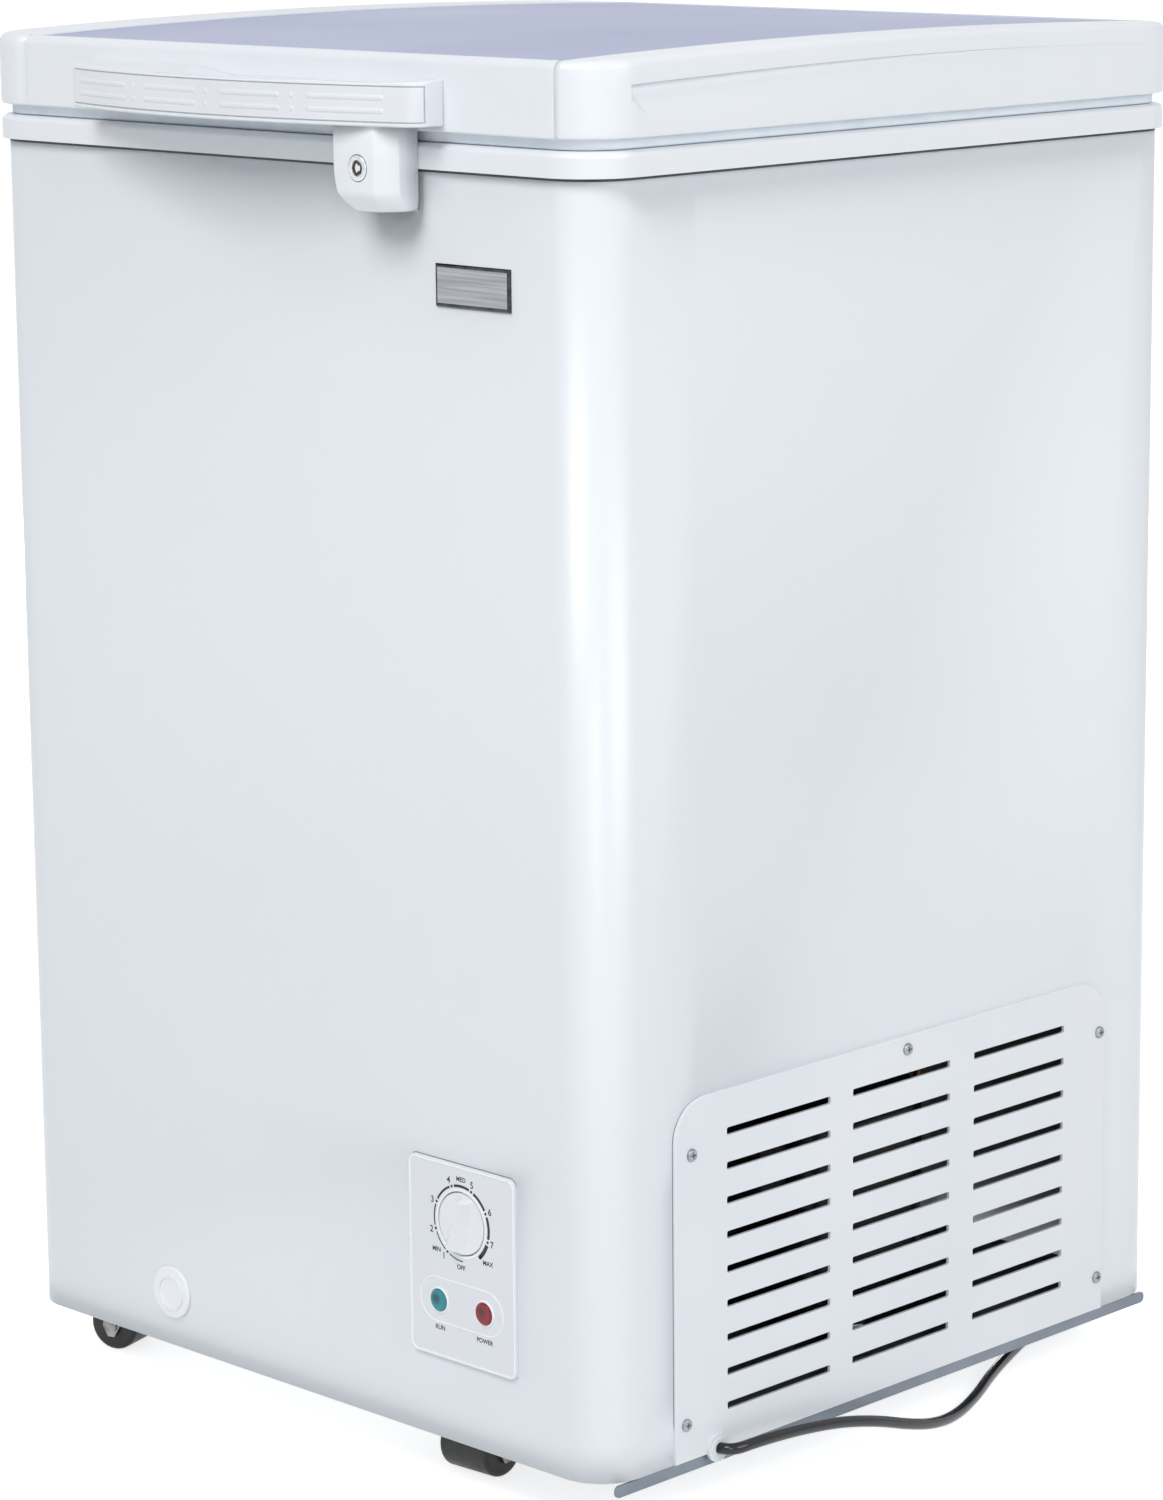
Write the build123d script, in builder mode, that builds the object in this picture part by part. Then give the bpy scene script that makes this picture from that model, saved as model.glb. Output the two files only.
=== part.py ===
from build123d import *
import math
import os

# A small chest freezer: foamed steel cabinet on four swivel casters, hinged lid with a lock,
# compressor bay behind a slotted grille at the lower right, and a lift-in basket.
# Millimetres, +Z up, front towards -Y. The origin is on the floor, in the middle of the
# outer box, so the cabinet itself stands a little towards the back (cabinet_y).

# ------------------------------------------------------------------ driving dimensions

# cabinet
body_width = 518.0            # steel wrap, outside, left to right
body_depth = 511.0            # steel wrap, outside, front to back
body_height = 745.0           # wrap, from its lower edge to the top frame
body_corner = 30.0            # radius of the wrap's upright corners
floor_gap = 37.0              # floor to the wrap's lower edge
wrap_sheet = 0.8              # painted steel
wall = 55.0                   # insulated wall, outside of wrap to inside of liner
floor_wall = 54.0             # insulated floor, bottom sheet to inside of liner
base_recess = 14.0            # bottom sheet above the wrap's lower edge
rear_panel_inset = 5.0        # wrap's return beside the rear panel, past the corners
liner_sheet = 1.0
chamber_corner = 20.0

# compressor bay, at the right
bay_width = 190.0             # from the wrap's right face
bay_headroom = 8.0            # bay ceiling above the grille's top edge
bay_insulation = 40.0         # round the bay, inside the chamber

# top frame
frame_height = 14.5
frame_overhang = 4.5
frame_shell = 2.5
frame_edge = 4.0              # rounding of its upper outer edge
skirt_drop = 6.0              # inner skirt, below the wrap's top
ledge_width = 8.0             # ledge that carries the basket
ledge_depth = 8.5

# lid
lid_gap = 6.5                 # between top frame and lid, filled by the gasket
lid_overhang = 5.0
lid_corner = 35.0
lid_edge_height = 41.0        # at the front and rear edges, up to the top skin
crown = 5.0                   # rise of the top, front edge to middle
rim_proud = 1.0               # trims and caps above the top skin
lid_shell = 2.5
lid_round = 5.0               # rounding of the lid's upper edges
lid_foot_round = 1.5          # rounding of the lid's lower edges
left_cap_width = 50.0
right_cap_width = 29.0
trim_top = 6.0                # width of the front and rear trims seen from above
trim_ledge = 12.0             # ledge under the top skin
trim_ledge_sheet = 1.5
lip = 24.0                    # return of trims and caps under the lid
skin_sheet = 0.8
plug_clearance = 14.0         # lid liner's raised panel inside the chamber mouth
plug_depth = 9.5
plug_corner = 16.0
gasket_inset = 7.0
gasket_width = 12.0
gasket_corner = 28.0
gasket_lift = 0.3             # air left under the gasket

# scoops in the caps
scoop_start = 229.0           # front end, ahead of the cabinet's middle
scoop_end = 205.0             # rear end, behind it
scoop_below = 9.0             # upper edge below the top skin's edge
scoop_height = 22.0
scoop_depth = 4.0
scoop_tail = 0.5              # depth left at the rear end

# handle
handle_half = 150.0
handle_reach = 43.0           # at the middle, from the lid's front face
handle_end_reach = 20.0
handle_rise = 3.5             # handle's underside above the lid's
handle_height = 26.0          # at the lid
handle_fall = 2.0             # top lower at the front
handle_shell = 3.0
handle_round = 12.0
handle_screw_spread = 110.0
boss_radius = 5.0
boss_reach = 12.0
grip_height = 20.0
grip_rise = 2.5               # grip plate's lower edge above the handle's
grip_sheet = 1.5
grip_margin = 3.5             # at each end
grip_wrap = 16.0              # how far the grip plate runs back round the ends
groove_height = 1.2
groove_deep = 0.5

# lock
lock_x = 107.0
lock_drop = 23.5              # lock's axis below the handle's underside
housing_width = 43.0
housing_drop = 48.0           # housing's underside below the handle's
housing_front = 31.0          # from the wrap's front face
housing_back = 6.0
housing_bevel = 9.0           # bevelled strip beside the ridge
housing_shell = 2.5
housing_round = 6.0
tongue_height = 14.0          # tongue inside the handle
barrel_radius = 8.7
barrel_proud = 0.8
barrel_fit = 0.05
boss_length = 10.0
cam_gap = 0.5                 # between cam and keeper, front to back
cam_sheet = 2.0
cam_width = 8.0
cam_reach = 15.0
cam_tab = 3.0
keeper_width = 28.0
keeper_height = 17.0
keeper_sheet = 1.5
keeper_lip = 10.0             # lip, from the wrap's front face
keeper_lip_width = 19.0
keeper_lip_sheet = 3.5
keeper_clear = 0.5            # between the turned cam and the lip
slot_clear = 1.5              # round the lip, in the housing's floor

# hinges
hinge_x = 150.0
hinge_reach = 13.0            # pin's axis behind the wrap's rear face
hinge_drop = 3.0              # pin's axis below the lid's underside
pin_radius = 3.0
pin_fit = 0.05
knuckle_radius = 6.0
knuckle_length = 30.0
ear_radius = 6.5
ear_sheet = 3.0
hinge_gap = 1.0               # between knuckle and ears
bracket_height = 75.0
bracket_width = 50.0
bracket_drop = 10.0           # bracket's top edge below the wrap's
hinge_sheet = 2.0
leaf_height = 36.0
hinge_screw_spread = 10.0     # each side of the bracket's middle
leaf_screw_spread = 8.0
hinge_screw_length = 14.0

# fasteners
screw_shank = 1.9
screw_head = 3.8
screw_head_height = 1.8
screw_fit = 0.05
grille_screw_length = 10.0

# grille in the right side
grille_height = 217.0
grille_half = 196.5
grille_corner = 25.0
grille_proud = 2.0
grille_round = 0.8
grille_window_margin = 22.0   # grille's edge round the window behind it
slot_columns = [(-153.0, -63.0), (-43.0, 46.0), (68.5, 155.5)]
slot_rows = 9
slot_pitch = 20.8
slot_first = 25.5             # lowest slot above the wrap's lower edge
slot_height = 4.6
slot_corner = 1.2
grille_screw_places = [(-182.8, 184.2), (6.2, 208.9), (190.4, 182.8), (190.8, 21.7), (-188.1, 22.7)]

# mains lead's exit
lead_diameter = 7.0
grommet_y = -162.7
grommet_z = 2.8               # above the wrap's lower edge
grommet_flange = 8.5
grommet_flange_sheet = 2.2
grommet_wall = 2.4
grommet_length = 2.9          # outside the grille
grommet_inside = 3.0          # behind the wrap's face
grommet_fit = 0.1

# controls at the lower right of the front
panel_inset = 156.0           # its left edge, from the wrap's right face
panel_width = 89.0
panel_low = 50.0              # above the wrap's lower edge
panel_height = 121.0
panel_corner = 6.0
panel_proud = 2.0
panel_rim = 5.0               # panel's edge outside its window
panel_collar = 16.0
panel_wall = 1.6
panel_fit = 0.1
dial_inset = 44.6             # dial's axis, from the panel's left edge
dial_z = 135.9                # above the wrap's lower edge
dish_radius = 19.3
dish_depth = 3.0
knob_radius = 18.5
knob_gap = 0.6
knob_proud = 0.5
pointer_rise = 8.0
pointer_width = 9.0
pointer_angle = 66.0          # rest direction, from +X
shaft_radius = 2.5
shaft_fit = 0.05
shaft_reach = 5.0             # shaft, ahead of the panel's face
thermostat_width = 36.0
thermostat_height = 40.0
thermostat_depth = 26.0
lamp_z = 85.5                 # above the wrap's lower edge
green_lamp_inset = 25.2       # from the panel's left edge
red_lamp_inset = 63.0
lamp_radius = 5.8
lamp_bezel = 0.8
lamp_proud = 1.6
lamp_length = 14.0

# badge place
badge_inset = 122.0           # its left edge, from the wrap's right face
badge_width = 59.5
badge_drop = 76.0             # its lower edge, below the wrap's upper edge
badge_height = 24.0
badge_proud = 1.6
badge_border = 2.0
badge_sheet = 0.8

# drain
drain_inset = 143.6           # from the wrap's left face
drain_z = 35.1                # above the wrap's lower edge
drain_cap_radius = 16.6
drain_cap_proud = 2.5
drain_cap_gap = 0.3
drain_bore = 6.0
drain_fit = 0.05
drain_tube_wall = 1.5
drain_run = 105.0             # from the front face back to the upright bore
drain_spigot = 14.0
drain_plug_radius = 13.0
drain_plug_head = 3.0
drain_plug_grip = 7.0

# compressor and its tray
tray_sheet = 1.5
tray_gap = 1.0                # between tray and the bay's inner wall
rail_clear = 0.1              # between rail and wrap
rail_drop = 8.0               # rail seen below the wrap's lower edge
rail_half = 244.0
compressor_y = 40.0
compressor_width = 90.0
compressor_depth = 118.0
compressor_height = 140.0
compressor_corner = 30.0
compressor_round = 24.0
compressor_seam = 3.0
foot_sheet = 3.0
mount_height = 12.0
mount_radius = 11.0
stud_spread_x = 136.0
stud_spread_y = 96.0
stud_radius = 3.5
nut_height = 4.0
terminal_width = 42.0
terminal_depth = 22.0
terminal_height = 50.0
drier_offset = 30.0           # from the bay's inner wall
drier_y = -110.0
drier_rise = 40.0             # above the tray
drier_length = 100.0
drier_radius = 9.0
pipe_radius = 3.0
pipe_bend = 12.0

# casters
caster_left_inset = 44.0      # king pin, from the wrap's left face
caster_right_inset = 149.0    # from its right face
caster_end_inset = 58.5       # from its front and rear faces
wheel_radius = 17.0
wheel_width = 38.0
wheel_round = 3.0
axle_radius = 3.0
axle_fit = 0.05
rivet_head = 1.4
trail = 12.0
fork_sheet = 2.0
fork_gap = 0.5
cheek_width = 17.0
caster_plate = 52.0
caster_plate_sheet = 2.0
race_height = 3.7
race_radius = 15.0
race_gap = 0.3
king_radius = 4.0
caster_turn = {"front_left": -163.0, "front_right": -86.0, "rear_left": 130.0, "rear_right": 40.0}

# basket
basket_width = 190.0
basket_drop = 150.0
basket_sheet = 3.0
basket_side_gap = 2.0         # to the chamber's right wall
basket_end_gap = 5.5          # to the chamber's front and rear walls
basket_corner = 17.0
basket_rim = 6.0              # rim over the ledge
basket_rim_length = 168.0
basket_clear = 0.3            # under the rim
mesh_bar = 3.5
mesh_pitch = 38.0

# mains lead: x from the wrap's right face, y from the cabinet's middle, z
lead_route = [
    (1.5, -162.7, 39.8),
    (8.5, -162.7, 39.8),
    (14.0, -157.2, 40.1),
    (15.4, -146.4, 40.8),
    (16.4, -128.0, 40.5),
    (16.2, -102.0, 38.4),
    (17.4, -70.0, 34.6),
    (18.4, -38.0, 27.0),
    (17.0, -8.0, 16.5),
    (13.0, 21.0, 8.2),
    (5.0, 51.0, 4.0),
    (-9.0, 86.0, 3.5),
    (-29.0, 125.0, 3.5),
    (-46.0, 165.0, 3.5),
    (-62.0, 206.0, 3.5),
    (-72.0, 247.0, 3.5),
    (-78.5, 282.0, 3.5),
    (-82.0, 310.0, 3.5),
]
coil_inset = 129.0            # coil's middle, from the wrap's right face
coil_behind = 70.5            # from its rear face
coil_turn_radius = 38.5       # middle of the wound turns
coil_columns = 2
coil_layers = 3
plug_distance = 49.8          # plug's tail from the coil's middle
plug_tail = 26.0
plug_width = 26.0
plug_length = 32.0
plug_height = 22.0
plug_heading = 240.0
blade_length = 17.0

# ------------------------------------------------------------------ derived places

half_width = body_width / 2
half_depth = body_depth / 2
front_reach = half_depth + lid_overhang + handle_reach
rear_reach = half_depth + hinge_reach + ear_radius
cabinet_y = (front_reach - rear_reach) / 2

wrap_low = floor_gap
wrap_top = wrap_low + body_height
frame_top = wrap_top + frame_height
lid_low = frame_top + lid_gap
skin_edge = lid_low + lid_edge_height
bottom_level = wrap_low + base_recess
chamber_floor = bottom_level + floor_wall
chamber_top = wrap_top - skirt_drop
chamber_x = half_width - wall
chamber_y = half_depth - wall
bay_left = half_width - bay_width
bay_top = wrap_low + grille_height + bay_headroom
step_left = bay_left - bay_insulation
step_top = bay_top + bay_insulation
lid_half_width = half_width + lid_overhang
lid_half_depth = half_depth + lid_overhang
rear_panel_half = half_width - body_corner - rear_panel_inset
handle_low = lid_low + handle_rise
grip_low = handle_low + grip_rise
lock_level = handle_low - lock_drop
drain_level = wrap_low + drain_z
dial_level = wrap_low + dial_z
lamp_level = wrap_low + lamp_z
panel_left = half_width - panel_inset
dial_x = panel_left + dial_inset
lamp_places = {"green": panel_left + green_lamp_inset, "red": panel_left + red_lamp_inset}
badge_left = half_width - badge_inset
badge_low = wrap_top - badge_drop
drain_x = drain_inset - half_width
compressor_x = half_width - bay_width / 2
caster_left_x = caster_left_inset - half_width
caster_right_x = half_width - caster_right_inset
caster_y = half_depth - caster_end_inset
coil_x = half_width - coil_inset
coil_y = half_depth + coil_behind


def level(z):
    """Horizontal plane at height z, centred on the cabinet."""
    return Plane(origin=(0, cabinet_y, z))


def facing_front(y):
    """Upright plane facing the front, y from the cabinet's middle: local x is +X, local y is up."""
    return Plane(origin=(0, cabinet_y + y, 0), x_dir=(1, 0, 0), z_dir=(0, -1, 0))


def facing_right(x):
    """Upright plane facing the right: local x runs to the back, local y is up."""
    return Plane(origin=(x, cabinet_y, 0), x_dir=(0, 1, 0), z_dir=(1, 0, 0))


def finish(piece, name):
    """Label a finished piece and write it out."""
    piece.part.label = name
    export_step(piece.part, f"parts/{name}.step")


os.makedirs("parts", exist_ok=True)

# ------------------------------------------------------------------ cabinet shell


def rounded_block(width, depth, corner, low, high):
    """Upright block with rounded corners, centred on the cabinet."""
    with BuildPart(mode=Mode.PRIVATE) as block:
        with BuildSketch(level(low)):
            RectangleRounded(width, depth, corner)
        extrude(amount=high - low)
    return block.part


def bay_block(extra):
    """The open space under the bottom sheet, with the compressor bay, grown by extra."""
    with BuildPart(mode=Mode.PRIVATE) as block:
        with BuildSketch(facing_front(0)):
            with BuildLine():
                Polyline(
                    (-half_width, 0),
                    (half_width, 0),
                    (half_width, bay_top + extra),
                    (bay_left - extra, bay_top + extra),
                    (bay_left - extra, bottom_level + extra),
                    (-half_width, bottom_level + extra),
                    close=True,
                )
            make_face()
        extrude(amount=half_depth, both=True)
    return block.part


def chamber_block(extra, top):
    """The chamber with its step over the bay, grown by extra, up to the level top."""
    side = chamber_x + extra
    with BuildPart(mode=Mode.PRIVATE) as block:
        with BuildSketch(facing_front(0)):
            with BuildLine():
                Polyline(
                    (-side, chamber_floor - extra),
                    (step_left + extra, chamber_floor - extra),
                    (step_left + extra, step_top - extra),
                    (side, step_top - extra),
                    (side, top),
                    (-side, top),
                    close=True,
                )
            make_face()
        extrude(amount=chamber_y + extra, both=True)
        upright = block.edges().filter_by(Axis.Z)
        fillet([e for e in upright if abs(e.center().X) > side - 0.01], chamber_corner + extra)
    return block.part


def screw_bores(places, plane, radius, depth):
    """Round bores, depth each way from a plane, at places on it."""
    with BuildPart(mode=Mode.PRIVATE) as bores:
        with BuildSketch(plane):
            with Locations(places):
                Circle(radius)
        extrude(amount=depth, both=True)
    return bores.part


wrap_inside = (body_width - 2 * wrap_sheet, body_depth - 2 * wrap_sheet, body_corner - wrap_sheet)
panel_middle = (panel_left + panel_width / 2, wrap_low + panel_low + panel_height / 2)
drain_tube_radius = drain_bore + drain_tube_wall
grille_screw_levels = [(y, wrap_low + z) for y, z in grille_screw_places]
grommet_place = (grommet_y, wrap_low + grommet_z)
grommet_radius = lead_diameter / 2 + grommet_wall
lead_hole = grommet_radius + grommet_fit

keeper_left = lock_x - cam_width / 2 - 7.0
keeper_lip_left = lock_x - cam_width / 2 + 1.0
keeper_lip_low = lock_level - cam_reach + cam_tab + keeper_clear
keeper_top = keeper_lip_low + keeper_lip_sheet
keeper_low = keeper_top - keeper_height
keeper_screw_places = [
    (keeper_left + 6.0, keeper_low + 5.0),
    (keeper_left + keeper_width - 6.0, keeper_low + 5.0),
]

bracket_low = wrap_top - bracket_drop - bracket_height
bracket_screw_places = [
    (side * hinge_x + dx, z)
    for side in (-1, 1)
    for dx in (-hinge_screw_spread, hinge_screw_spread)
    for z in (bracket_low + 10.0, bracket_low + bracket_height - 25.0)
]
screw_hole = screw_shank + screw_fit

with BuildPart() as outer_cabinet:
    add(rounded_block(body_width, body_depth, body_corner, wrap_low, wrap_top))
    add(rounded_block(*wrap_inside, wrap_low, wrap_top), mode=Mode.SUBTRACT)
    # opening for the rear panel
    with BuildSketch(facing_front(half_depth)):
        with Locations((0, (wrap_low + wrap_top) / 2)):
            Rectangle(2 * rear_panel_half, body_height)
    extrude(amount=2 * wrap_sheet, both=True, mode=Mode.SUBTRACT)
    # window behind the grille, its screw holes, and the notch for the mains lead
    with BuildSketch(facing_right(half_width)):
        with Locations((0, wrap_low + grille_height / 2)):
            Rectangle(2 * (grille_half - grille_window_margin), grille_height - 2 * grille_window_margin)
        with Locations(grille_screw_levels):
            Circle(screw_hole)
        with Locations(grommet_place):
            Circle(lead_hole)
            Rectangle(2 * lead_hole, 3 * lead_hole, align=(Align.CENTER, Align.MAX))
    extrude(amount=2 * wrap_sheet, both=True, mode=Mode.SUBTRACT)
    # window behind the control panel, holes for the drain and the keeper's screws
    with BuildSketch(facing_front(-half_depth)):
        with Locations(panel_middle):
            Rectangle(panel_width - 2 * panel_rim, panel_height - 2 * panel_rim)
        with Locations((drain_x, drain_level)):
            Circle(drain_tube_radius)
        with Locations(keeper_screw_places):
            Circle(screw_hole)
    extrude(amount=2 * wrap_sheet, both=True, mode=Mode.SUBTRACT)
finish(outer_cabinet, "outer_cabinet")

with BuildPart() as rear_panel:
    with BuildSketch(facing_front(half_depth)):
        with Locations((0, (wrap_low + wrap_top) / 2)):
            Rectangle(2 * rear_panel_half, body_height)
        with Locations(bracket_screw_places):
            Circle(screw_hole, mode=Mode.SUBTRACT)
    extrude(amount=wrap_sheet)
finish(rear_panel, "rear_panel")

with BuildPart() as bottom_panel:
    add(bay_block(wrap_sheet))
    add(bay_block(0), mode=Mode.SUBTRACT)
    add(rounded_block(*wrap_inside, 0, wrap_top), mode=Mode.INTERSECT)
finish(bottom_panel, "bottom_panel")

# ------------------------------------------------------------------ chamber and insulation

drain_hole_place = (drain_x, drain_run - half_depth)

with BuildPart() as inner_liner:
    add(chamber_block(liner_sheet, chamber_top))
    add(chamber_block(0, chamber_top), mode=Mode.SUBTRACT)
    with BuildSketch(level(chamber_floor)):
        with Locations(drain_hole_place):
            Circle(drain_tube_radius)
    extrude(amount=2 * liner_sheet, both=True, mode=Mode.SUBTRACT)
finish(inner_liner, "inner_liner")

land_width = 2 * (chamber_x + ledge_width + frame_shell)
land_depth = 2 * (chamber_y + ledge_width + frame_shell)
land_corner = chamber_corner + ledge_width + frame_shell
channel = (body_width - 2 * frame_shell, body_depth - 2 * frame_shell, body_corner - frame_shell)
channel_top = frame_top - frame_shell

with BuildPart() as top_frame:
    with BuildSketch(level(wrap_top)):
        RectangleRounded(body_width + 2 * frame_overhang, body_depth + 2 * frame_overhang,
                         body_corner + frame_overhang)
    extrude(amount=frame_height)
    fillet(top_frame.edges().group_by(Axis.Z)[-1], frame_edge)
    # skirt down to the liner
    add(rounded_block(2 * (chamber_x + liner_sheet), 2 * (chamber_y + liner_sheet),
                      chamber_corner + liner_sheet, chamber_top, wrap_top))
    # foam channel under the frame
    with BuildSketch(level(wrap_top)):
        RectangleRounded(*channel)
        RectangleRounded(land_width, land_depth, land_corner, mode=Mode.SUBTRACT)
    extrude(amount=channel_top - wrap_top, mode=Mode.SUBTRACT)
    # chamber mouth
    add(rounded_block(2 * chamber_x, 2 * chamber_y, chamber_corner, chamber_top, frame_top),
        mode=Mode.SUBTRACT)
    # ledges for the basket, front and back
    with BuildSketch(level(frame_top)):
        with Locations((0, chamber_y), (0, -chamber_y)):
            Rectangle(2 * chamber_x - chamber_corner, 2 * ledge_width)
    extrude(amount=-ledge_depth, mode=Mode.SUBTRACT)
finish(top_frame, "top_frame")

with BuildPart() as cabinet_screws:
    # two hold the keeper, eight hold the hinge brackets
    for places, face, inward in (
        (keeper_screw_places, -half_depth - keeper_sheet, -1),
        (bracket_screw_places, half_depth + hinge_sheet, 1),
    ):
        with BuildSketch(facing_front(face)):
            with Locations(places):
                Circle(screw_head)
        extrude(amount=-inward * screw_head_height)
        with BuildSketch(facing_front(face)):
            with Locations(places):
                Circle(screw_shank)
        extrude(amount=inward * hinge_screw_length)
finish(cabinet_screws, "cabinet_screws")

with BuildPart(mode=Mode.PRIVATE) as drain_bores:
    with BuildSketch(facing_front(-half_depth)):
        with Locations((drain_x, drain_level)):
            Circle(drain_tube_radius)
    extrude(amount=-drain_run - drain_tube_radius)
    with BuildSketch(level(drain_level)):
        with Locations(drain_hole_place):
            Circle(drain_tube_radius)
    extrude(amount=chamber_floor - drain_level)

with BuildPart() as cabinet_foam:
    add(rounded_block(*wrap_inside, bottom_level, wrap_top))
    add(rounded_block(*channel, wrap_top, channel_top))
    add(bay_block(wrap_sheet), mode=Mode.SUBTRACT)
    add(rounded_block(land_width, land_depth, land_corner, wrap_top, channel_top), mode=Mode.SUBTRACT)
    add(chamber_block(liner_sheet, wrap_top), mode=Mode.SUBTRACT)
    add(drain_bores.part, mode=Mode.SUBTRACT)
    add(cabinet_screws.part, mode=Mode.SUBTRACT)
finish(cabinet_foam, "cabinet_foam")

# ------------------------------------------------------------------ drain

with BuildPart() as drain_tube:
    add(drain_bores.part)
    with BuildSketch(facing_front(-half_depth)):
        with Locations((drain_x, drain_level)):
            Circle(drain_bore)
    extrude(amount=-drain_run, mode=Mode.SUBTRACT)
    with BuildSketch(level(drain_level)):
        with Locations(drain_hole_place):
            Circle(drain_bore)
    extrude(amount=chamber_floor - drain_level, mode=Mode.SUBTRACT)
finish(drain_tube, "drain_tube")

with BuildPart() as drain_cap:
    with BuildSketch(facing_front(-half_depth - drain_cap_gap)):
        with Locations((drain_x, drain_level)):
            Circle(drain_cap_radius)
    extrude(amount=drain_cap_proud - drain_cap_gap)
    fillet(drain_cap.edges().group_by(Axis.Y)[0], 1.2)
    # raised ring for the fingers
    with BuildSketch(facing_front(-half_depth - drain_cap_proud)):
        with Locations((drain_x, drain_level)):
            Circle(drain_cap_radius * 0.7)
            Circle(drain_cap_radius * 0.58, mode=Mode.SUBTRACT)
    extrude(amount=1.0)
    # spigot in the drain tube
    with BuildSketch(facing_front(-half_depth - drain_cap_gap)):
        with Locations((drain_x, drain_level)):
            Circle(drain_bore - drain_fit)
    extrude(amount=-drain_spigot)
finish(drain_cap, "drain_cap")

plug_seat = chamber_floor + drain_cap_gap

with BuildPart() as drain_plug:
    with BuildSketch(level(plug_seat)):
        with Locations(drain_hole_place):
            Circle(drain_plug_radius)
    extrude(amount=drain_plug_head)
    fillet(drain_plug.edges().group_by(Axis.Z)[-1], 1.0)
    with BuildSketch(level(plug_seat + drain_plug_head)):
        with Locations(drain_hole_place):
            Rectangle(1.1 * drain_plug_radius, 2.4)
    extrude(amount=drain_plug_grip)
    with BuildSketch(level(plug_seat)):
        with Locations(drain_hole_place):
            Circle(drain_bore - drain_fit)
    extrude(amount=-drain_spigot)
finish(drain_plug, "drain_plug")

# ------------------------------------------------------------------ grille and lead's exit

with BuildPart() as vent_grille:
    with BuildSketch(facing_right(half_width)):
        with Locations((0, wrap_low + grille_height / 2)):
            Rectangle(2 * grille_half, grille_height)
    extrude(amount=grille_proud)
    fillet(vent_grille.edges().filter_by(Axis.X).group_by(Axis.Z)[-1], grille_corner)
    fillet(vent_grille.faces().sort_by(Axis.X)[-1].edges(), grille_round)
    with BuildSketch(facing_right(half_width)):
        for low, high in slot_columns:
            with Locations([((low + high) / 2, wrap_low + slot_first + row * slot_pitch)
                            for row in range(slot_rows)]):
                RectangleRounded(high - low, slot_height, slot_corner)
        with Locations(grille_screw_levels):
            Circle(screw_hole)
        with Locations(grommet_place):
            Circle(lead_hole)
            Rectangle(2 * lead_hole, 3 * lead_hole, align=(Align.CENTER, Align.MAX))
    extrude(amount=2 * grille_proud, both=True, mode=Mode.SUBTRACT)
finish(vent_grille, "vent_grille")

grille_face = half_width + grille_proud

with BuildPart() as grille_screws:
    with BuildSketch(facing_right(grille_face)):
        with Locations(grille_screw_levels):
            Circle(screw_head)
    extrude(amount=screw_head_height)
    fillet(grille_screws.edges().group_by(Axis.X)[-1], 0.7 * screw_head_height)
    with BuildSketch(facing_right(grille_face)):
        with Locations(grille_screw_levels):
            Circle(screw_shank)
    extrude(amount=-grille_screw_length)
    # cross recess
    with BuildSketch(facing_right(grille_face + screw_head_height)):
        with Locations(grille_screw_levels):
            Rectangle(screw_head, 0.9)
            Rectangle(0.9, screw_head)
    extrude(amount=-0.6 * screw_head_height, mode=Mode.SUBTRACT)
finish(grille_screws, "grille_screws")

with BuildPart() as cord_grommet:
    with BuildSketch(facing_right(half_width - grommet_inside)):
        with Locations(grommet_place):
            Circle(grommet_radius)
    extrude(amount=grommet_inside + grille_proud + grommet_length)
    with BuildSketch(facing_right(grille_face)):
        with Locations(grommet_place):
            Circle(grommet_flange)
    extrude(amount=grommet_flange_sheet)
    with BuildSketch(facing_right(half_width - grommet_inside)):
        with Locations(grommet_place):
            Circle(lead_diameter / 2)
    extrude(amount=grommet_inside + grille_proud + grommet_length, mode=Mode.SUBTRACT)
finish(cord_grommet, "cord_grommet")

# ------------------------------------------------------------------ controls

panel_face = half_depth + panel_proud
window_width = panel_width - 2 * panel_rim
window_height = panel_height - 2 * panel_rim
dish_floor = panel_face - dish_depth
dial_place = (dial_x, dial_level)

with BuildPart() as control_panel:
    with BuildSketch(facing_front(-half_depth)):
        with Locations(panel_middle):
            RectangleRounded(panel_width, panel_height, panel_corner)
    extrude(amount=panel_proud)
    fillet(control_panel.faces().sort_by(Axis.Y)[0].edges(), panel_proud / 2)
    # collar through the wrap's window
    with BuildSketch(facing_front(-half_depth)):
        with Locations(panel_middle):
            Rectangle(window_width - 2 * panel_fit, window_height - 2 * panel_fit)
            Rectangle(window_width - 2 * panel_fit - 2 * panel_wall,
                      window_height - 2 * panel_fit - 2 * panel_wall, mode=Mode.SUBTRACT)
    extrude(amount=-panel_collar)
    # dish round the knob
    with BuildSketch(facing_front(-half_depth)):
        with Locations(dial_place):
            Circle(dish_radius + panel_wall)
    extrude(amount=panel_proud - dish_depth - panel_wall)
    with BuildSketch(facing_front(-panel_face)):
        with Locations(dial_place):
            Circle(dish_radius)
    extrude(amount=-dish_depth, mode=Mode.SUBTRACT)
    # holes for the shaft and the lamps
    with BuildSketch(facing_front(-half_depth)):
        with Locations(dial_place):
            Circle(shaft_radius + 1.0)
        with Locations([(x, lamp_level) for x in lamp_places.values()]):
            Circle(lamp_radius)
    extrude(amount=2 * (dish_depth + panel_wall), both=True, mode=Mode.SUBTRACT)
finish(control_panel, "control_panel")

thermostat_face = dish_floor - panel_wall
shaft_tip = panel_face + shaft_reach

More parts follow.
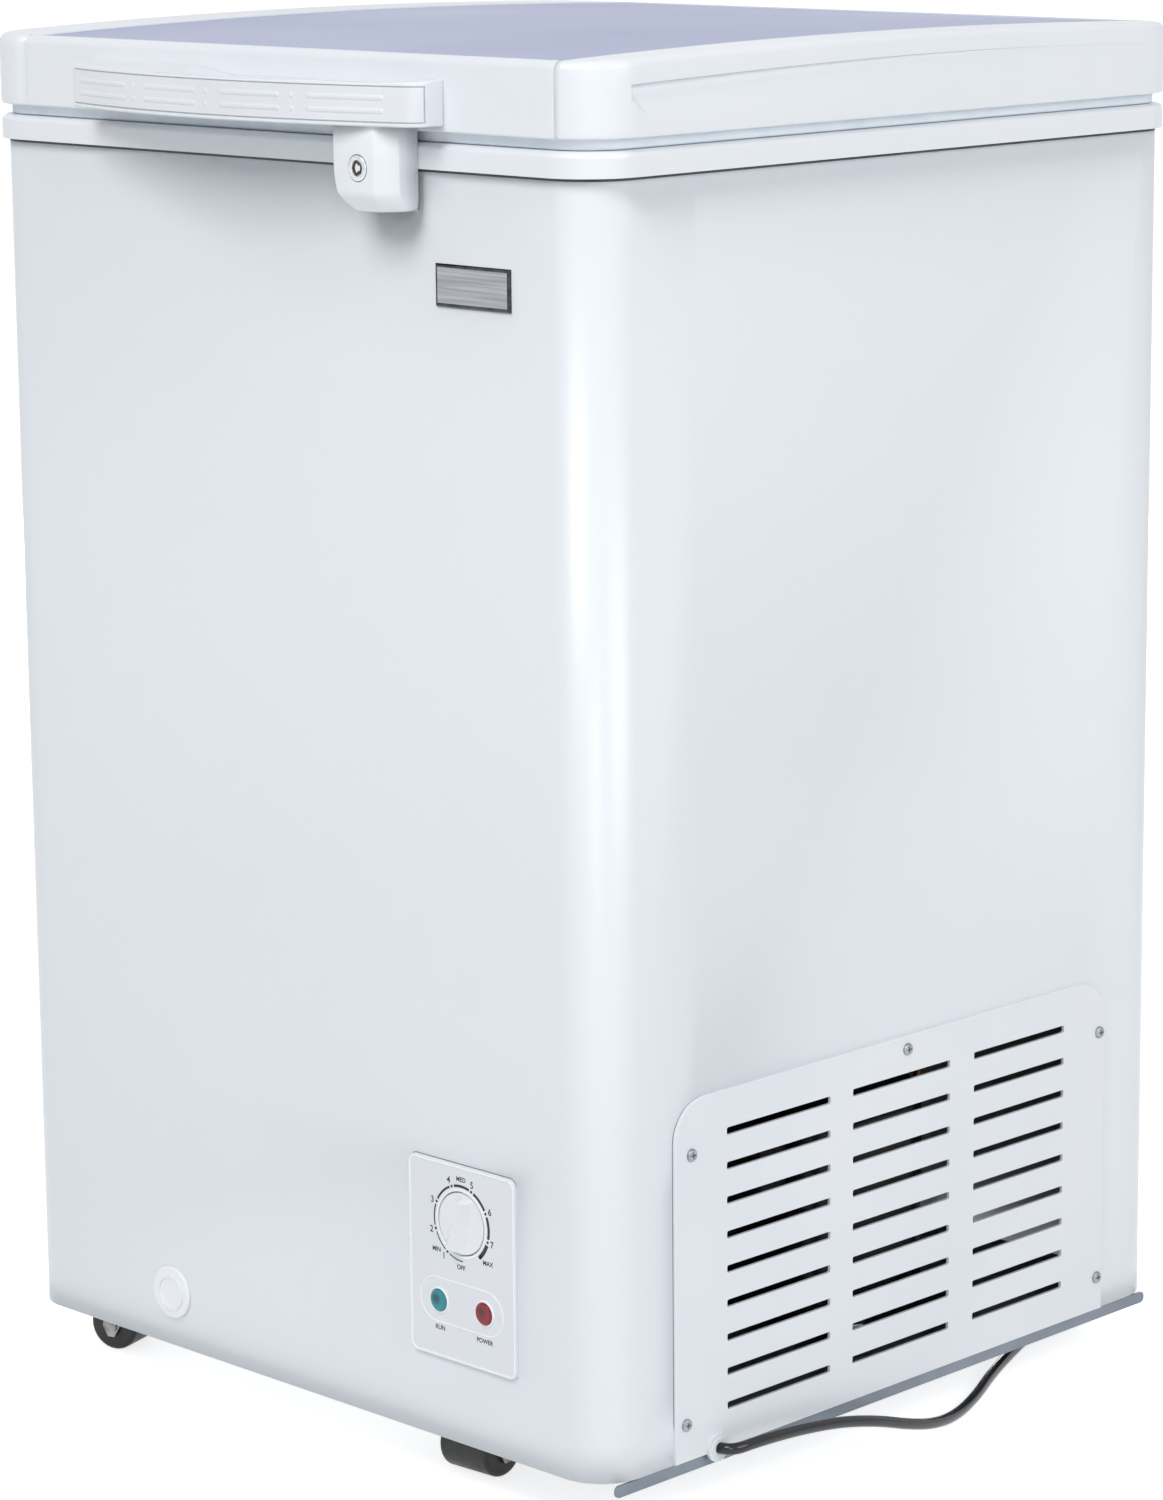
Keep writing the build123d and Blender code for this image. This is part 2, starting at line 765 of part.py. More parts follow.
with BuildPart() as thermostat:
    with BuildSketch(facing_front(-thermostat_face)):
        with Locations(dial_place):
            Rectangle(thermostat_width, thermostat_height)
    extrude(amount=-thermostat_depth)
    with BuildSketch(facing_front(-thermostat_face)):
        with Locations(dial_place):
            Circle(shaft_radius)
    extrude(amount=shaft_tip - thermostat_face)
    # terminals at the back
    with BuildSketch(facing_front(thermostat_depth - thermostat_face)):
        with Locations(dial_place):
            with GridLocations(thermostat_width / 3, thermostat_height / 3, 2, 2):
                Rectangle(6.3, 0.8)
    extrude(amount=-8.0)
finish(thermostat, "thermostat")

knob_back = dish_floor + knob_gap
knob_face = panel_face + knob_proud
pointer_plane = Plane(
    origin=(dial_x, cabinet_y - knob_face, dial_level),
    x_dir=(math.cos(math.radians(pointer_angle)), 0, math.sin(math.radians(pointer_angle))),
    z_dir=(0, -1, 0),
)

with BuildPart() as thermostat_knob:
    with BuildSketch(facing_front(-knob_back)):
        with Locations(dial_place):
            Circle(knob_radius)
    extrude(amount=knob_face - knob_back)
    fillet(thermostat_knob.edges().group_by(Axis.Y)[0], 0.6)
    # finger bar across the knob, narrower at the pointer
    with BuildSketch(pointer_plane) as pointer:
        with BuildLine():
            Polyline(
                (-knob_radius + 0.8, -pointer_width / 2),
                (knob_radius - 0.8, -0.38 * pointer_width),
                (knob_radius - 0.8, 0.38 * pointer_width),
                (-knob_radius + 0.8, pointer_width / 2),
                close=True,
            )
        make_face()
        fillet(pointer.vertices(), 2.0)
    extrude(amount=pointer_rise, taper=4)
    with BuildSketch(facing_front(-knob_back)):
        with Locations(dial_place):
            Circle(shaft_radius + shaft_fit)
    extrude(amount=shaft_tip - knob_back + race_gap, mode=Mode.SUBTRACT)
finish(thermostat_knob, "thermostat_knob")

for colour, x in lamp_places.items():
    with BuildPart() as lamp:
        with BuildSketch(facing_front(-panel_face)):
            with Locations((x, lamp_level)):
                Circle(lamp_radius + lamp_bezel)
        extrude(amount=lamp_proud)
        fillet(lamp.edges().group_by(Axis.Y)[0], 0.7 * lamp_proud)
        with BuildSketch(facing_front(-panel_face)):
            with Locations((x, lamp_level)):
                Circle(lamp_radius)
        extrude(amount=-panel_proud - lamp_length)
    finish(lamp, f"{colour}_lamp")

badge_middle = (badge_left + badge_width / 2, badge_low + badge_height / 2)

with BuildPart() as badge_surround:
    with BuildSketch(facing_front(-half_depth)):
        with Locations(badge_middle):
            Rectangle(badge_width, badge_height)
    extrude(amount=badge_proud)
    chamfer(badge_surround.faces().sort_by(Axis.Y)[0].edges(), 0.5 * badge_proud)
    with BuildSketch(facing_front(-half_depth - badge_proud)):
        with Locations(badge_middle):
            Rectangle(badge_width - 2 * badge_border, badge_height - 2 * badge_border)
    extrude(amount=-badge_sheet, mode=Mode.SUBTRACT)
finish(badge_surround, "badge_surround")

with BuildPart() as badge_plate:
    with BuildSketch(facing_front(badge_sheet - half_depth - badge_proud)):
        with Locations(badge_middle):
            Rectangle(badge_width - 2 * badge_border, badge_height - 2 * badge_border)
    extrude(amount=badge_sheet)
finish(badge_plate, "badge_plate")

# ------------------------------------------------------------------ compressor bay

tray_half = half_depth - body_corner
rail_face = half_width - wrap_sheet - rail_clear
tray_left = bay_left + tray_gap
mount_low = bottom_level + tray_sheet
foot_level = mount_low + mount_height
shell_low = foot_level + foot_sheet
compressor_place = (compressor_x, compressor_y)
stud_places = [(compressor_x + sx * stud_spread_x / 2, compressor_y + sy * stud_spread_y / 2)
               for sx in (-1, 1) for sy in (-1, 1)]

with BuildPart() as compressor_base:
    with BuildSketch(level(bottom_level)):
        with Locations(((tray_left + rail_face) / 2, 0)):
            Rectangle(rail_face - tray_left, 2 * tray_half)
        with Locations(stud_places):
            Circle(stud_radius, mode=Mode.SUBTRACT)
    extrude(amount=tray_sheet)
    # stiffening flange at the left
    with BuildSketch(level(bottom_level)):
        with Locations((tray_left + tray_sheet / 2, 0)):
            Rectangle(tray_sheet, 2 * tray_half)
    extrude(amount=-base_recess)
    # rail along the right side, longer below the wrap, with rounded tips
    with BuildSketch(facing_right(rail_face - tray_sheet)):
        with Locations((0, wrap_low - rail_drop / 2)):
            Rectangle(2 * tray_half, base_recess + rail_drop / 2, align=(Align.CENTER, Align.MIN))
        with Locations((0, wrap_low - rail_drop / 2 - wrap_sheet / 2)):
            RectangleRounded(2 * rail_half, rail_drop - wrap_sheet, 0.45 * (rail_drop - wrap_sheet))
        with Locations(grommet_place):
            Circle(lead_hole, mode=Mode.SUBTRACT)
    extrude(amount=tray_sheet)
finish(compressor_base, "compressor_base")

with BuildPart() as compressor_mounts:
    with BuildSketch(level(mount_low)):
        with Locations(stud_places):
            Circle(mount_radius)
            Circle(stud_radius, mode=Mode.SUBTRACT)
    extrude(amount=mount_height)
finish(compressor_mounts, "compressor_mounts")

with BuildPart() as compressor:
    with BuildSketch(level(foot_level)):
        with Locations(compressor_place):
            RectangleRounded(stud_spread_x + 26, stud_spread_y + 26, 12)
        with Locations(stud_places):
            Circle(stud_radius, mode=Mode.SUBTRACT)
    extrude(amount=foot_sheet)
    with BuildSketch(level(shell_low)):
        with Locations(compressor_place):
            RectangleRounded(compressor_width, compressor_depth, compressor_corner)
    extrude(amount=compressor_height)
    fillet(compressor.edges().group_by(Axis.Z)[-1], compressor_round)
    # weld seam round the shell
    with BuildSketch(level(shell_low + 0.45 * compressor_height)):
        with Locations(compressor_place):
            RectangleRounded(compressor_width + 2 * compressor_seam, compressor_depth + 2 * compressor_seam,
                             compressor_corner + compressor_seam)
    extrude(amount=5.0)
finish(compressor, "compressor")

with BuildPart() as compressor_bolts:
    with BuildSketch(level(bottom_level)):
        with Locations(stud_places):
            RegularPolygon(1.8 * stud_radius, 6)
    extrude(amount=-0.6 * nut_height)
    with BuildSketch(level(bottom_level)):
        with Locations(stud_places):
            Circle(stud_radius)
    extrude(amount=shell_low - bottom_level)
    with BuildSketch(level(shell_low)):
        with Locations(stud_places):
            RegularPolygon(1.8 * stud_radius, 6)
    extrude(amount=nut_height)
finish(compressor_bolts, "compressor_bolts")

terminal_y = compressor_y - compressor_depth / 2 - terminal_depth / 2

with BuildPart() as terminal_cover:
    with BuildSketch(level(shell_low + 0.5 * compressor_height)):
        with Locations((compressor_x, terminal_y)):
            Rectangle(terminal_width, terminal_depth)
    extrude(amount=terminal_height)
    fillet(terminal_cover.edges().filter_by(Axis.Z).group_by(Axis.Y)[0], 3.0)
finish(terminal_cover, "terminal_cover")

drier_x = bay_left + drier_offset
drier_low = mount_low + drier_rise

with BuildPart() as filter_drier:
    with BuildSketch(level(drier_low)):
        with Locations((drier_x, drier_y)):
            Circle(drier_radius)
    extrude(amount=drier_length)
    fillet(filter_drier.edges().filter_by(GeomType.CIRCLE), 0.55 * drier_radius)
finish(filter_drier, "filter_drier")

pipe_exit = shell_low + 0.22 * compressor_height
pipe_high = bay_top - 26.0
discharge_y = cabinet_y + compressor_y
suction_y = discharge_y + compressor_depth / 2


def pipe(points):
    """A bent round pipe through the given corners."""
    with BuildPart(mode=Mode.PRIVATE) as run:
        with BuildLine() as route:
            FilletPolyline(*points, radius=pipe_bend)
        with BuildSketch(Plane(origin=route.line @ 0, z_dir=route.line % 0)):
            Circle(pipe_radius)
        sweep(path=route.line)
    return run.part


with BuildPart() as refrigerant_tubes:
    # discharge line, up and over into the drier
    add(pipe([
        (compressor_x - compressor_width / 2, discharge_y, pipe_exit),
        (drier_x, discharge_y, pipe_exit),
        (drier_x, discharge_y, pipe_high),
        (drier_x, cabinet_y + drier_y, pipe_high),
        (drier_x, cabinet_y + drier_y, drier_low + drier_length),
    ]))
    # liquid line from the drier into the foam
    add(pipe([
        (drier_x, cabinet_y + drier_y, drier_low),
        (drier_x, cabinet_y + drier_y, drier_low - 1.8 * pipe_bend),
        (bay_left, cabinet_y + drier_y, drier_low - 1.8 * pipe_bend),
    ]))
    # suction line, up the back and into the foam
    add(pipe([
        (compressor_x, suction_y, pipe_exit),
        (compressor_x, suction_y + 2.5 * pipe_bend, pipe_exit),
        (compressor_x, suction_y + 2.5 * pipe_bend, pipe_high),
        (bay_left, suction_y + 2.5 * pipe_bend, pipe_high),
    ]))
finish(refrigerant_tubes, "refrigerant_tubes")

# ------------------------------------------------------------------ casters

race_low = bottom_level - caster_plate_sheet - race_height
fork_top = race_low - race_gap
fork_low = fork_top - fork_sheet
cheek_in = wheel_width / 2 + fork_gap
cheek_out = cheek_in + fork_sheet
swivel_places = {
    "front_left": (caster_left_x, -caster_y),
    "front_right": (caster_right_x, -caster_y),
    "rear_left": (caster_left_x, caster_y),
    "rear_right": (caster_right_x, caster_y),
}
swivels = list(swivel_places.values())

with BuildPart() as caster_plates:
    with BuildSketch(level(bottom_level)):
        with Locations(swivels):
            RectangleRounded(caster_plate, caster_plate, 5.0)
    extrude(amount=-caster_plate_sheet)
    with BuildSketch(level(bottom_level - caster_plate_sheet)):
        with Locations(swivels):
            Circle(race_radius)
    extrude(amount=-race_height)
    # king pins with riveted heads
    with BuildSketch(level(race_low)):
        with Locations(swivels):
            Circle(king_radius)
    extrude(amount=fork_low - race_gap - race_low)
    with BuildSketch(level(fork_low - race_gap)):
        with Locations(swivels):
            Circle(king_radius + 2.5)
    extrude(amount=-1.5)
finish(caster_plates, "caster_plates")


def caster_plane(corner, across_offset):
    """Upright plane beside the swivel axis: local x points along the trail, local y is up."""
    x, y = swivel_places[corner]
    turn = math.radians(caster_turn[corner])
    across = Vector(math.sin(turn), -math.cos(turn), 0)
    return Plane(
        origin=Vector(x, cabinet_y + y, 0) + across * across_offset,
        x_dir=(math.cos(turn), math.sin(turn), 0),
        z_dir=across,
    )


for corner, (swivel_x, swivel_y) in swivel_places.items():
    with BuildPart() as fork:
        # top plate, then the two tapered cheeks
        with BuildSketch(caster_plane(corner, -cheek_out)):
            with Locations((trail / 4, fork_top)):
                Rectangle(cheek_width + trail / 2, fork_sheet, align=(Align.CENTER, Align.MAX))
        extrude(amount=2 * cheek_out)
        for inner in (-cheek_out, cheek_in):
            with BuildSketch(caster_plane(corner, inner)):
                with BuildLine():
                    Polyline(
                        (-cheek_width / 2, fork_top),
                        (cheek_width / 2 + trail / 2, fork_top),
                        (trail + 2 * axle_radius, wheel_radius - 1.0),
                        (trail + 0.8 * axle_radius, wheel_radius - 2.5 * axle_radius),
                        (trail - 0.8 * axle_radius, wheel_radius - 2.5 * axle_radius),
                        (trail - 2 * axle_radius, wheel_radius - 1.0),
                        close=True,
                    )
                make_face()
            extrude(amount=fork_sheet)
        # riveted axle
        with BuildSketch(caster_plane(corner, -cheek_out - rivet_head)):
            with Locations((trail, wheel_radius)):
                Circle(axle_radius)
        extrude(amount=2 * (cheek_out + rivet_head))
        for inner in (-cheek_out - rivet_head, cheek_out):
            with BuildSketch(caster_plane(corner, inner)):
                with Locations((trail, wheel_radius)):
                    Circle(1.5 * axle_radius)
            extrude(amount=rivet_head)
        with BuildSketch(level(fork_top)):
            with Locations((swivel_x, swivel_y)):
                Circle(king_radius + axle_fit)
        extrude(amount=-fork_sheet, mode=Mode.SUBTRACT)
    finish(fork, f"caster_fork_{corner}")

    with BuildPart() as wheel:
        with BuildSketch(caster_plane(corner, -wheel_width / 2)):
            with Locations((trail, wheel_radius)):
                Circle(wheel_radius)
        extrude(amount=wheel_width)
        fillet(wheel.edges().filter_by(GeomType.CIRCLE), wheel_round)
        with BuildSketch(caster_plane(corner, -wheel_width / 2)):
            with Locations((trail, wheel_radius)):
                Circle(axle_radius + axle_fit)
        extrude(amount=wheel_width, mode=Mode.SUBTRACT)
    finish(wheel, f"caster_wheel_{corner}")

# ------------------------------------------------------------------ lid


crown_radius = (lid_half_depth ** 2 + crown ** 2) / (2 * crown)


def lid_form(inset, lower, rounding, foot):
    """The lid's form, drawn in by inset at its sides and underside and lowered on top."""
    half_x = lid_half_width - inset
    half_y = lid_half_depth - inset
    edge = skin_edge + rim_proud - lower
    with BuildPart(mode=Mode.PRIVATE) as form:
        with BuildSketch(level(lid_low + inset)):
            RectangleRounded(2 * half_x, 2 * half_y, lid_corner - inset)
        extrude(amount=lid_edge_height + 2 * crown)
        # crest of a wide roll across the lid, as its crown
        with BuildSketch(facing_right(-lid_half_width)):
            with Locations((0, edge + crown - crown_radius)):
                Circle(crown_radius)
        extrude(amount=2 * lid_half_width, mode=Mode.INTERSECT)
        if rounding > 0:
            fillet(form.faces().sort_by(Axis.Z)[-1].edges(), rounding)
        if foot > 0:
            fillet(form.faces().sort_by(Axis.Z)[0].edges(), foot)
    return form.part


left_seam = left_cap_width - lid_half_width
right_seam = lid_half_width - right_cap_width
skin_front = lid_half_depth - trim_top
seam_middle = (left_seam + right_seam) / 2
seam_span = right_seam - left_seam
lid_tall = lid_edge_height + 3 * crown
lip_x = lid_half_width - lip
lip_y = lid_half_depth - lip
top_wall = rim_proud + skin_sheet

outer_form = lid_form(0, 0, lid_round, lid_foot_round)
inner_form = lid_form(lid_shell, top_wall, lid_round - lid_shell, 0)
skin_top_form = lid_form(0, rim_proud, 0, 0)
skin_low_form = lid_form(0, top_wall, 0, 0)
ledge_form = lid_form(0, top_wall + trim_ledge_sheet, 0, 0)


def lid_block(x, y, width, depth, height):
    """Plain block standing on the lid's underside, about the point x, y."""
    with BuildPart(mode=Mode.PRIVATE) as block:
        with BuildSketch(level(lid_low)):
            with Locations((x, y)):
                Rectangle(width, depth)
        extrude(amount=height)
    return block.part


skin_block = lid_block(seam_middle, 0, seam_span, 2 * skin_front, lid_tall)
inside_lip = lid_block(0, 0, 2 * lip_x, 2 * lip_y, lid_shell)

with BuildPart() as lid_top_skin:
    add(skin_top_form)
    add(skin_low_form, mode=Mode.SUBTRACT)
    add(skin_block, mode=Mode.INTERSECT)
finish(lid_top_skin, "lid_top_skin")


def scoop_tool(side):
    """Long scoop, deepest under its upper edge and at its front end, fading to the back."""
    face = side * lid_half_width
    top = skin_edge - scoop_below
    low = top - scoop_height
    with BuildPart(mode=Mode.PRIVATE) as tool:
        for y, depth in ((-scoop_start, scoop_depth), (scoop_end, scoop_tail)):
            with BuildSketch(facing_front(y)):
                with BuildLine():
                    Polyline(
                        (face + side * scoop_tail, top),
                        (face - side * depth, top),
                        (face + side * 0.1, low),
                        (face + side * scoop_tail, low),
                        close=True,
                    )
                make_face()
        loft()
        # rounded lower corner at the front end
        with BuildSketch(facing_right(face)):
            with BuildLine():
                ThreePointArc((-scoop_start, top), (-scoop_start + 0.3 * scoop_height, top - 0.7 * scoop_height),
                              (-scoop_start + scoop_height, low))
                Polyline((-scoop_start + scoop_height, low), (scoop_end, low), (scoop_end, top),
                         (-scoop_start, top))
            make_face()
        extrude(amount=2 * scoop_depth, both=True, mode=Mode.INTERSECT)
    return tool.part


def scoop_backing(side):
    """Thickening behind the scoop that keeps the cap's wall."""
    inner = lid_half_width - lid_shell - scoop_depth
    with BuildPart(mode=Mode.PRIVATE) as backing:
        with BuildSketch(facing_right(side * inner)):
            with Locations(((scoop_end - scoop_start) / 2, skin_edge - scoop_below - scoop_height / 2)):
                Rectangle(scoop_end + scoop_start, scoop_height + 2 * lid_shell)
        extrude(amount=side * scoop_depth)
    return backing.part


lid_caps = {}
for name, seam, width in (("left", left_seam, left_cap_width), ("right", right_seam, right_cap_width)):
    side = math.copysign(1, seam)
    middle = seam + side * width / 2
    with BuildPart() as cap:
        add(outer_form)
        add(inner_form, mode=Mode.SUBTRACT)
        add(inside_lip, mode=Mode.SUBTRACT)
        add(lid_block(middle, 0, width, 2 * lid_half_depth, lid_tall), mode=Mode.INTERSECT)
        add(scoop_backing(side))
        add(scoop_tool(side), mode=Mode.SUBTRACT)
    finish(cap, f"lid_{name}_cap")
    lid_caps[name] = cap

handle_screw_level = handle_low + handle_height - handle_shell - boss_radius / 2 - 1.0
handle_screw_places = [(x, handle_screw_level) for x in (-handle_screw_spread, 0.0, handle_screw_spread)]
leaf_low = lid_low - 2 * hinge_drop
leaf_screw_places = [(side * hinge_x + dx, lid_low + 0.6 * lid_edge_height)
                     for side in (-1, 1) for dx in (-leaf_screw_spread, leaf_screw_spread)]

lid_trims = {}
for name, side, screw_places in (("front", -1, handle_screw_places), ("rear", 1, leaf_screw_places)):
    ledge_middle = side * (skin_front - trim_ledge / 2 + 1.0)
    with BuildPart(mode=Mode.PRIVATE) as ledge:
        add(skin_low_form)
        add(ledge_form, mode=Mode.SUBTRACT)
        add(lid_block(seam_middle, ledge_middle, seam_span, trim_ledge + 2.0, lid_tall), mode=Mode.INTERSECT)
    with BuildPart(mode=Mode.PRIVATE) as above_skin:
        add(outer_form)
        add(skin_low_form, mode=Mode.SUBTRACT)
        add(skin_block, mode=Mode.INTERSECT)
    with BuildPart() as trim:
        add(outer_form)
        add(inner_form, mode=Mode.SUBTRACT)
        add(lid_block(seam_middle, side * (lid_half_depth - lip / 2), seam_span, lip, lid_tall),
            mode=Mode.INTERSECT)
        add(above_skin.part, mode=Mode.SUBTRACT)
        add(ledge.part)
        add(screw_bores(screw_places, facing_front(side * lid_half_depth), screw_hole, 2 * lid_shell),
            mode=Mode.SUBTRACT)
    finish(trim, f"lid_{name}_trim")
    lid_trims[name] = trim

plug_x = chamber_x - plug_clearance
plug_y = chamber_y - plug_clearance
liner_level = lid_low + lid_shell
liner_void = rounded_block(2 * (plug_x - liner_sheet), 2 * (plug_y - liner_sheet),
                           plug_corner - liner_sheet, lid_low - plug_depth + liner_sheet, liner_level)

with BuildPart() as lid_liner:
    add(inside_lip)
    add(rounded_block(2 * plug_x, 2 * plug_y, plug_corner, lid_low - plug_depth, lid_low))
    fillet(lid_liner.edges().group_by(Axis.Z)[0], 2 * liner_sheet)
    add(liner_void, mode=Mode.SUBTRACT)
finish(lid_liner, "lid_liner")

with BuildPart() as lid_screws:
    # from inside the front trim into the handle, and through the hinge leaves into the lid
    for places, face, outward, reach in (
        (handle_screw_places, -lid_half_depth + lid_shell, 1, lid_shell + boss_reach - 3.0),
        (leaf_screw_places, lid_half_depth + hinge_sheet, 1, hinge_screw_length),
    ):
        with BuildSketch(facing_front(face)):
            with Locations(places):
                Circle(screw_head)
        extrude(amount=-outward * screw_head_height)
        with BuildSketch(facing_front(face)):
            with Locations(places):
                Circle(screw_shank)
        extrude(amount=outward * reach)
finish(lid_screws, "lid_screws")

with BuildPart() as lid_foam:
    add(inner_form)
    add(lid_trims["front"].part, mode=Mode.SUBTRACT)
    add(lid_trims["rear"].part, mode=Mode.SUBTRACT)
    add(lid_caps["left"].part, mode=Mode.SUBTRACT)
    add(lid_caps["right"].part, mode=Mode.SUBTRACT)
    add(scoop_tool(-1), mode=Mode.SUBTRACT)
    add(scoop_tool(1), mode=Mode.SUBTRACT)
    add(liner_void)
    add(lid_screws.part, mode=Mode.SUBTRACT)
finish(lid_foam, "lid_foam")

gasket_outer = (2 * (lid_half_width - gasket_inset), 2 * (lid_half_depth - gasket_inset), gasket_corner)
gasket_inner = (gasket_outer[0] - 2 * gasket_width, gasket_outer[1] - 2 * gasket_width,
                gasket_corner - gasket_width)

with BuildPart() as lid_gasket:
    with BuildSketch(level(frame_top + gasket_lift)):
        RectangleRounded(*gasket_outer)
        RectangleRounded(*gasket_inner, mode=Mode.SUBTRACT)
    extrude(amount=lid_gap - gasket_lift)
    fillet(lid_gasket.edges().group_by(Axis.Z)[0], 1.5)
finish(lid_gasket, "lid_gasket")

# ------------------------------------------------------------------ handle

bow = handle_reach - handle_end_reach
bow_radius = (handle_half ** 2 + bow ** 2) / (2 * bow)
bow_middle = bow_radius - lid_half_depth - handle_reach
handle_front = lid_half_depth + handle_reach


def handle_form(inset, low, high):
    """The handle's plan, drawn in by inset except at the lid, between two levels."""
    end = handle_half - inset
    end_y = bow_middle - math.sqrt((bow_radius - inset) ** 2 - end ** 2)
    with BuildPart(mode=Mode.PRIVATE) as form:
        with BuildSketch(level(low)) as plan:
            with BuildLine():
                Polyline((-end, end_y), (-end, -lid_half_depth), (end, -lid_half_depth), (end, end_y))
                ThreePointArc((end, end_y), (0, inset - handle_front), (-end, end_y))
            make_face()
            corners = [v for v in plan.vertices() if v.Y < -lid_half_depth - 1.0]
            fillet(corners, handle_round - inset)
        extrude(amount=high - low)
    return form.part


def handle_slope(drop):
    """Everything under the handle's sloping top, lowered by drop."""
    top = handle_low + handle_height - drop
    with BuildPart(mode=Mode.PRIVATE) as wedge:
        with BuildSketch(facing_right(0)):
            with BuildLine():
                Polyline((-lid_half_depth, handle_low), (-lid_half_depth, top),
                         (-handle_front, top - handle_fall), (-handle_front, handle_low), close=True)
            make_face()
        extrude(amount=handle_half, both=True)
    return wedge.part


grip_half = handle_half - grip_margin

with BuildPart(mode=Mode.PRIVATE) as grip_window:
    with BuildSketch(level(grip_low)):
        with Locations((0, -handle_front)):
            Rectangle(2 * grip_half, 2 * (handle_reach - handle_end_reach + handle_round))
    extrude(amount=grip_height)

with BuildPart(mode=Mode.PRIVATE) as grip_form:
    add(handle_form(0, grip_low, grip_low + grip_height))
    add(handle_form(grip_sheet, grip_low, grip_low + grip_height), mode=Mode.SUBTRACT)
    add(grip_window.part, mode=Mode.INTERSECT)

groove_spans = [(-134.0, -79.0), (-59.0, -10.0), (11.0, 58.0), (78.0, 129.0)]
dot_places = (-70.0, -1.0, 67.0)
groove_levels = (grip_low + 0.3 * grip_height, grip_low + 0.67 * grip_height)
groove_places = [((low + high) / 2, high - low) for low, high in groove_spans]
groove_places += [(x, 2.5) for x in dot_places]

with BuildPart(mode=Mode.PRIVATE) as groove_band:
    for groove_level in groove_levels:
        low = groove_level - groove_height / 2
        high = groove_level + groove_height / 2
        add(handle_form(0, low, high))
        add(handle_form(groove_deep, low, high), mode=Mode.SUBTRACT)

with BuildPart(mode=Mode.PRIVATE) as groove_windows:
    for x, span in groove_places:
        with BuildSketch(level(grip_low)):
            with Locations((x, -handle_front)):
                Rectangle(span, 2 * bow)
        extrude(amount=grip_height)

with BuildPart(mode=Mode.PRIVATE) as grooves:
    add(groove_band.part)
    add(groove_windows.part, mode=Mode.INTERSECT)

with BuildPart() as handle_grip_plate:
    add(grip_form.part)
    add(grooves.part, mode=Mode.SUBTRACT)
finish(handle_grip_plate, "handle_grip_plate")

with BuildPart(mode=Mode.PRIVATE) as finger_hollow:
    add(handle_form(handle_shell, handle_low, handle_low + handle_height))
    add(handle_slope(handle_shell), mode=Mode.INTERSECT)

with BuildPart() as lid_handle:
    add(handle_form(0, handle_low, handle_low + handle_height))
    add(handle_slope(0), mode=Mode.INTERSECT)
    add(finger_hollow.part, mode=Mode.SUBTRACT)
    add(grip_form.part, mode=Mode.SUBTRACT)
    # screw bosses against the lid
    with BuildSketch(facing_front(-lid_half_depth)):
        with Locations(handle_screw_places):
            Circle(boss_radius)
            Circle(screw_shank, mode=Mode.SUBTRACT)
    extrude(amount=boss_reach)
finish(lid_handle, "lid_handle")

# ------------------------------------------------------------------ lock


def housing_plan(inset, low, high):
    """The housing's plan with its bevelled right side, open to the back when drawn in."""
    left = lock_x - housing_width / 2 + inset
    right = lock_x + housing_width / 2 - inset
    back = -half_depth - housing_back
    front = inset - half_depth - housing_front
    with BuildPart(mode=Mode.PRIVATE) as form:
        with BuildSketch(level(low)):
            with BuildLine():
                Polyline(
                    (left, back),
                    (left, front + 3.0),
                    (left + 3.0, front),
                    (right - housing_bevel, front),
                    (right, front + 1.3 * housing_bevel),
                    (right, back),
                    close=True,
                )
            make_face()
        extrude(amount=high - low)
    return form.part


housing_low = handle_low - housing_drop
housing_face = half_depth + housing_front
barrel_hole = barrel_radius + barrel_fit
lock_place = (lock_x, lock_level)

with BuildPart() as lock_housing:
    add(housing_plan(0, housing_low, handle_low))
    fillet(lock_housing.faces().sort_by(Axis.Z)[0].edges().sort_by(Axis.Y)[:-1], housing_round / 2)
    add(housing_plan(housing_shell, housing_low + housing_shell, handle_low - housing_shell),
        mode=Mode.SUBTRACT)
    # boss that guides the lock's barrel
    with BuildSketch(facing_front(-housing_face + housing_shell)):
        with Locations(lock_place):
            Circle(barrel_radius + 3.0)
    extrude(amount=-boss_length)
    with BuildSketch(facing_front(-housing_face)):
        with Locations(lock_place):
            Circle(barrel_hole)
    extrude(amount=-housing_shell - boss_length, mode=Mode.SUBTRACT)
    # slot in the floor for the keeper's lip
    with BuildSketch(level(housing_low)):
        with Locations((keeper_lip_left - slot_clear, -half_depth - housing_back)):
            Rectangle(keeper_lip_width + 2 * slot_clear, keeper_lip + slot_clear - housing_back,
                      align=(Align.MIN, Align.MAX))
    extrude(amount=housing_shell, mode=Mode.SUBTRACT)
    # tongue up inside the handle, against the lid
    with BuildSketch(facing_front(-lid_half_depth)):
        with Locations((lock_x, lid_low + lid_foot_round)):
            Rectangle(housing_width - 2 * housing_shell,
                      handle_low + tongue_height - lid_low - lid_foot_round,
                      align=(Align.CENTER, Align.MIN))
    extrude(amount=housing_shell + housing_back - lid_overhang)
finish(lock_housing, "lock_housing")

cam_back = half_depth + keeper_lip + cam_gap
cam_front = cam_back + cam_sheet

with BuildPart() as lock_cam:
    with BuildSketch(facing_front(-cam_back)):
        with Locations(lock_place):
            Circle(barrel_radius - 1.5)
            Rectangle(cam_reach, cam_width, align=(Align.MAX, Align.CENTER))
    extrude(amount=cam_sheet)
    # tab bent back towards the cabinet
    with BuildSketch(facing_front(-cam_back)):
        with Locations((lock_x - cam_reach, lock_level)):
            Rectangle(cam_tab, cam_width, align=(Align.MIN, Align.CENTER))
    extrude(amount=-(keeper_lip + cam_gap) / 2)
finish(lock_cam, "lock_cam")

